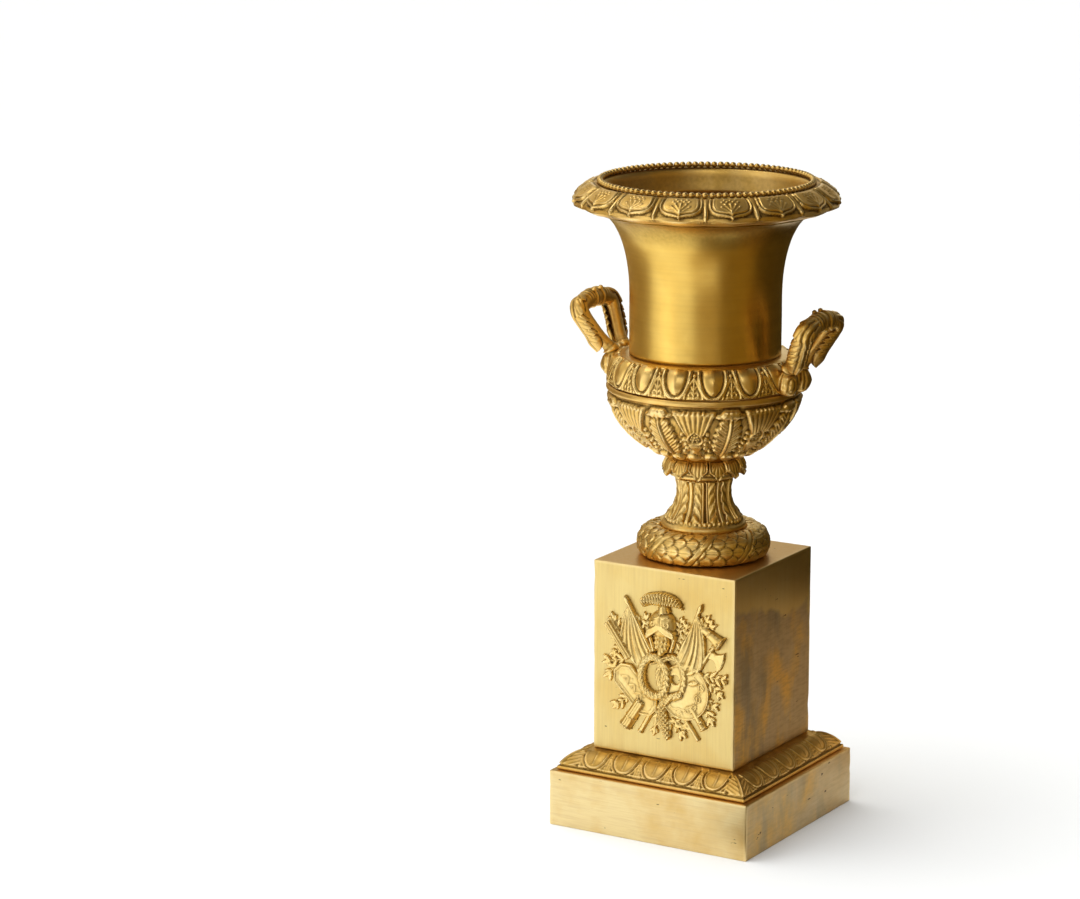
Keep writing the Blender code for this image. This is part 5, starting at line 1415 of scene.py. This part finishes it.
def layFlags(height, x, z):
    # furled cloth hanging from crossed poles, with folds that fan out from the pole's head
    left = bentLine([(-23.4, 92.4), (-27.6, 84.0), (-28.2, 72.0), (-24.6, 62.6), (-18.6, 56.6), (-13.6, 55.2),
                     (-9.0, 60.0), (-9.0, 67.0), (-13.6, 76.4), (-18.4, 84.6), (-22.6, 92.0)], 50)
    right = bentLine([(24.2, 94.4), (27.6, 85.0), (29.2, 73.0), (27.4, 60.6), (21.4, 55.8), (14.6, 56.8),
                      (10.0, 62.6), (12.2, 71.0), (18.0, 82.0), (23.4, 93.8)], 50)
    for outline, top, lean, folds in ((left, (-23.2, 95.5), 1.0, 7.2), (right, (24.4, 98.0), -1.0, 6.6)):
        near = polygonNear(x, z, [tuple(point) for point in outline[:-1]])
        ray = np.degrees(np.arctan2(x - top[0], top[1] - z))
        reach = np.hypot(x - top[0], z - top[1])
        bend = ray + lean * 5.0 * np.sin(reach / 13.0)
        fold = np.abs(np.cos(math.radians(180) * bend / folds)) ** 0.8
        fine = np.abs(np.cos(math.radians(180) * bend / (0.41 * folds) + 0.6))
        cloth = trophySet["cloth"] + 0.95 * fold + 0.30 * fine - 0.6
        height = np.where(near > 0, np.maximum(height, cloth * smoothStep(0.0, 0.7, near) ** 0.6), height)
    for start, end in (((-23.6, 94.6), (-7.0, 66.0)), ((24.8, 96.4), (10.0, 60.0))):
        height = layRod(height, x, z, start, end, 0.85, 0.95, 1.9 if start[0] < 0 else 1.2)
    height = layLeaf(height, x, z, (-22.6, 92.0), 122, 6.6, 3.0, 2.6, False)
    height = layLeaf(height, x, z, (24.2, 93.2), 72, 6.4, 3.2, 2.6, False)
    height = raiseMark(height, bank(np.hypot(x - 24.0, z - 92.8), 1.5), 2.4)
    return height


def layShields(height, x, z):
    # an eight-sided shield at the left and a round one with scrolls at the right, both with raised edges
    long, short, cut = 18.0, 8.2, 5.0
    along, across = turnedAt(x, z, (-18.0, 41.0), -46)
    octagon = [(-long, -short + cut), (-long + cut, -short), (long - cut, -short), (long, -short + cut),
               (long, short - cut), (long - cut, short), (-long + cut, short), (-long, short - cut)]
    near = polygonNear(along, across, octagon)
    board = trophySet["shield"] + 0.45 * bank(near - 0.7, 0.8) - 0.35 * smoothStep(1.2, 1.9, near)
    board = board + 0.5 * bank(near - 2.6, 0.5) * (near > 1.6)
    for shift in (-8.6, -2.2, 4.2):
        spray = bentLine([(shift - 3, -1.6), (shift, 1.6), (shift + 3, -1.4)], 10)
        leafy = bank(lineDistance(along, across, spray), 0.8)
        board = board + 0.6 * leafy + 0.6 * dome(np.hypot(along - shift, across + 1.4), 0.9)
        board = board + 0.45 * bank(np.hypot(along - shift - 2.6, across - 2.4), 1.2)
    height = np.where(near > 0, np.maximum(height, board * smoothStep(0, 0.35, near)), height)
    away = np.hypot((x - 15.4) / 16.8, (z - 44.4) / 17.4)
    near = (1 - away) * 17.0
    inner = np.hypot(x - 9.0, z - 51.0)
    scallop = 12.4 + 1.3 * np.abs(np.sin(4.5 * np.arctan2(z - 44.0, x - 10.0)))
    disc = trophySet["shield"] + 0.45 * bank(near - 0.7, 0.8) - 0.3 * smoothStep(1.2, 1.9, near)
    disc = disc + 0.5 * bank(np.hypot(x - 12.0, z - 46.6) - scallop, 0.65)
    for middle, start, size in (((24.6, 41.6), 60, 3.0), ((18.6, 33.4), 20, 2.9), ((27.2, 48.6), 80, 2.3),
                                ((12.0, 31.2), 0, 1.9), ((22.0, 36.6), 200, 2.1)):
        disc = disc + 0.6 * bank(lineDistance(x, z, curlLine(middle, start, 1.6, size, 0.85)), 0.62)
    height = np.where((near > 0) & (inner > 3.0), np.maximum(height, disc * smoothStep(0, 0.35, near)), height)
    return height


def layHelmet(height, x, z):
    # plume of curled feathers, neck, dome with scrolls, studded pointed brow, leafy beard and straps
    plume = bentLine([(-14.6, 93.0), (-15.0, 97.0), (-11.6, 100.6), (-5.6, 102.4), (0.0, 103.2), (6.0, 102.4),
                      (11.0, 99.8), (13.6, 96.0), (14.2, 92.2), (12.4, 94.0), (8.0, 94.6), (0.0, 94.2), (-7.0, 94.2),
                      (-12.0, 92.4)], 70)
    near = polygonNear(x, z, [tuple(point) for point in plume])
    ray = np.degrees(np.arctan2(x + 0.2, z - 80.0))
    strand = np.abs(np.cos(math.pi * ray / 5.4)) ** 0.7
    fine = np.abs(np.cos(math.pi * ray / 1.9))
    near = near - 1.5 * (1 - strand) * (1 - smoothStep(94.5, 98.0, z))
    feather = 1.3 + 1.9 * smoothStep(0.0, 3.4, near) ** 0.6 + 1.4 * strand + 0.3 * fine - 0.6
    feather = feather + 0.5 * np.cos((z - 92.0) * 1.3 + 0.5 * strand)
    height = np.where(near > 0, np.maximum(height, feather * smoothStep(0, 0.6, near) ** 0.6), height)
    tips = np.abs(np.cos(math.pi * ray / 5.4)) * bank(near - 0.8, 1.6)
    height = height + 0.5 * tips * (near > 0)
    height = layRod(height, x, z, (1.2, 90.6), (0.4, 95.0), 4.6, 3.4, 0.2)
    domeNear = dome(np.hypot((x - 0.2) / 9.3, (z - 83.6) / 8.6), 1.0)
    shell = 6.2 * domeNear
    for mirror in (-1, 1):
        for line in (curlLine((mirror * 4.4 + 0.2, 84.6), 90 + 90 * mirror, 1.3 * mirror, 2.5, 0.8),
                     bentLine([(mirror * 1.0 + 0.2, 80.6), (mirror * 3.4 + 0.2, 82.0), (mirror * 7.0 + 0.2, 81.0)], 10),
                     bentLine([(0.2, 89.6), (mirror * 2.4 + 0.2, 88.2), (mirror * 5.4 + 0.2, 88.6)], 10)):
            shell = shell + 0.5 * bank(lineDistance(x, z, line), 0.6) * (domeNear > 0.2)
    shell = shell + 0.5 * bank(x - 0.2, 0.6) * (z > 84.0) * (domeNear > 0.1)
    height = np.where(domeNear > 0, np.maximum(height, shell), height)
    beardNear = dome(np.hypot((x + 0.2) / 5.5, (z - 72.4) / 7.6), 1.0)
    curls = np.abs(np.sin(1.25 * (x + 0.2 + 0.35 * np.sin(z)))) * np.abs(np.sin(0.95 * (z + 0.5 * np.abs(x))))
    beard = 3.7 * beardNear + 1.0 * curls * (beardNear > 0.2) - 0.2
    height = np.where(beardNear > 0, np.maximum(height, beard), height)
    brow = [(-9.8, 73.6), (-9.9, 77.8), (-9.0, 80.2), (-4.0, 82.8), (0.0, 85.0), (4.4, 82.8), (9.6, 80.0), (10.0, 77.2),
            (9.4, 75.6), (4.6, 77.6), (0.0, 80.6), (-4.6, 77.4)]
    browNear = polygonNear(x, z, brow)
    band = 6.1 * np.sqrt(np.clip(1 - (x / 14.0) ** 2, 0, 1)) + 0.35 * smoothStep(0.0, 0.5, browNear)
    height = np.where(browNear > 0, np.maximum(height, band * smoothStep(0, 0.4, browNear) ** 0.5), height)
    for side in (-1, 1):
        for step in range(8):
            stud = (side * 1.15 * (step + 0.3), 84.0 - 0.52 * (step + 0.3))
            height = raiseMark(height, dome(np.hypot(x - stud[0], z - stud[1]), 0.5),
                               0.55 + 6.4 * math.sqrt(1 - (stud[0] / 14.0) ** 2))
    for start, end in (((-9.0, 78.0), (-5.4, 66.4)), ((9.2, 78.0), (6.0, 67.4))):
        height = layRod(height, x, z, start, end, 1.0, 0.9, 1.8)
    return height


def makeTrophy():
    # the arms laid over each other on a grid; the squares they reach are kept, with a flat back and walls
    look = trophySet
    x, z = np.meshgrid(np.arange(look["left"], look["right"], look["cell"]),
                       np.arange(look["low"], look["high"], look["cell"]))
    height = np.full(x.shape, -1.0)
    height = layWeapons(height, x, z)
    height = layFoliage(height, x, z)
    height = layFlags(height, x, z)
    height = layShields(height, x, z)
    height = layHelmet(height, x, z)
    # leafy middle inside the wreaths, the wreaths, their ribbon and the garland below
    inner = dome(np.hypot((x - 1.4) / 3.4, (z - 49.0) / 11.0), 1.0)
    height = raiseMark(height, inner, 2.6)
    height = np.where(inner > 0, height + 0.5 * np.abs(np.sin(1.6 * x + 0.9 * z)) * np.abs(np.sin(1.1 * z)), height)
    height = layWreath(height, x, z, (6.6, 52.0), 8.6, 12.4, 2.5, 2.6, 3)
    height = layWreath(height, x, z, (-5.0, 51.0), 8.9, 12.0, 3.0, 3.4, 4)
    for line in (bentLine([(-7.5, 65.5), (-2.0, 63.0), (3.0, 60.0), (6.0, 57.0)], 14),
                 bentLine([(6.5, 65.5), (1.0, 63.2), (-3.0, 60.6), (-7.0, 58.6)], 14),
                 bentLine([(-6.0, 33.0), (-3.4, 28.6), (-1.6, 24.6), (-4.4, 20.0)], 14)):
        height = raiseMark(height, bank(lineDistance(x, z, line), 1.1), 4.4 if line[0][1] > 50 else 1.9)
    height = raiseMark(height, dome(np.hypot(x + 0.6, z - 66.4), 2.7), 3.9)
    garland = bentLine([(1.0, 38.0), (0.2, 33.6), (0.4, 28.6), (1.8, 23.0), (3.6, 16.6), (4.2, 14.2)], 24)
    away = lineDistance(x, z, garland)
    width = np.interp(z, [13.0, 16.0, 24.0, 34.0, 38.0], [0.6, 2.6, 3.5, 3.0, 2.0])
    bumps = np.abs(np.sin(1.3 * x + 1.1 * z)) * np.abs(np.sin(1.35 * x - 1.0 * z))
    height = np.where(away < width, np.maximum(height, 2.5 * dome(away, width) + 1.2 * bumps + 0.3), height)
    branch = bentLine([(2.0, 36.0), (7.0, 40.4), (12.0, 42.0)], 14)
    away = lineDistance(x, z, branch)
    height = np.where(away < 2.2, np.maximum(height, 1.9 + 1.6 * dome(away, 2.2) + 0.7 * bumps), height)
    height = layLeaf(height, x, z, (18.0, 50.0), 12, 7.6, 3.4, 3.0)
    height = layLeaf(height, x, z, (17.0, 55.6), 28, 8.2, 3.2, 3.0)
    fine = 0.07 * roughCast(x, z, 3.5, 17)
    shown = height > 0.12
    height = np.where(shown, height + fine, -0.5)
    hollow = hollows(np.where(shown, height, 0.0), 4, 1.3)
    quads = gridFaces(*x.shape, False, False)
    quads = quads[shown.ravel()[quads].any(axis=1)]
    index = np.full(x.size, -1)
    kept = np.unique(quads)
    index[kept] = np.arange(len(kept))
    quads = index[quads]
    depth = look["face"] - 0.3 + np.where(shown, height + 0.3, -0.35)
    front = np.stack((x, -depth, z + look["foot"]), axis=-1).reshape(-1, 3)[kept]
    back = front.copy()
    back[:, 1] = -(look["face"] - 0.9)
    # walls wherever a kept square has no neighbour
    edges = np.concatenate([quads[:, (side, (side + 1) % 4)] for side in range(4)])
    code = edges[:, 0].astype(np.int64) * len(kept) + edges[:, 1]
    mirror = edges[:, 1].astype(np.int64) * len(kept) + edges[:, 0]
    rim = edges[~np.isin(code, mirror)]
    walls = np.stack((rim[:, 1], rim[:, 0], rim[:, 0] + len(kept), rim[:, 1] + len(kept)), axis=1)
    allQuads = np.vstack((quads, quads[:, ::-1] + len(kept), walls))
    points = np.vstack((front, back))
    hollow = np.tile(hollow.ravel()[kept], 2)
    # painted light: a lighter copy of the gilt that offsets the shade of the relief's hollows and its dark reflections
    paint = giltPaint("trophyGilt", shine=0.22, dull=0.44, shadeAmount=0.92, bright=(0.97, 0.77, 0.36, 1),
                      warm=(0.90, 0.66, 0.25, 1))
    makePiece("trophy", points, allQuads, [], hollow, paint, ["trophy_mount"])


makeCamera()
makeStudio()
for makePart in (makeRim, makeBeads, makeBarrel, makeShoulder, makeBowl, makeCollar, makeFoot, makeSlab, makePedestal,
                 makeMoulding, makeHandles, makeTrophy):
    makePart()
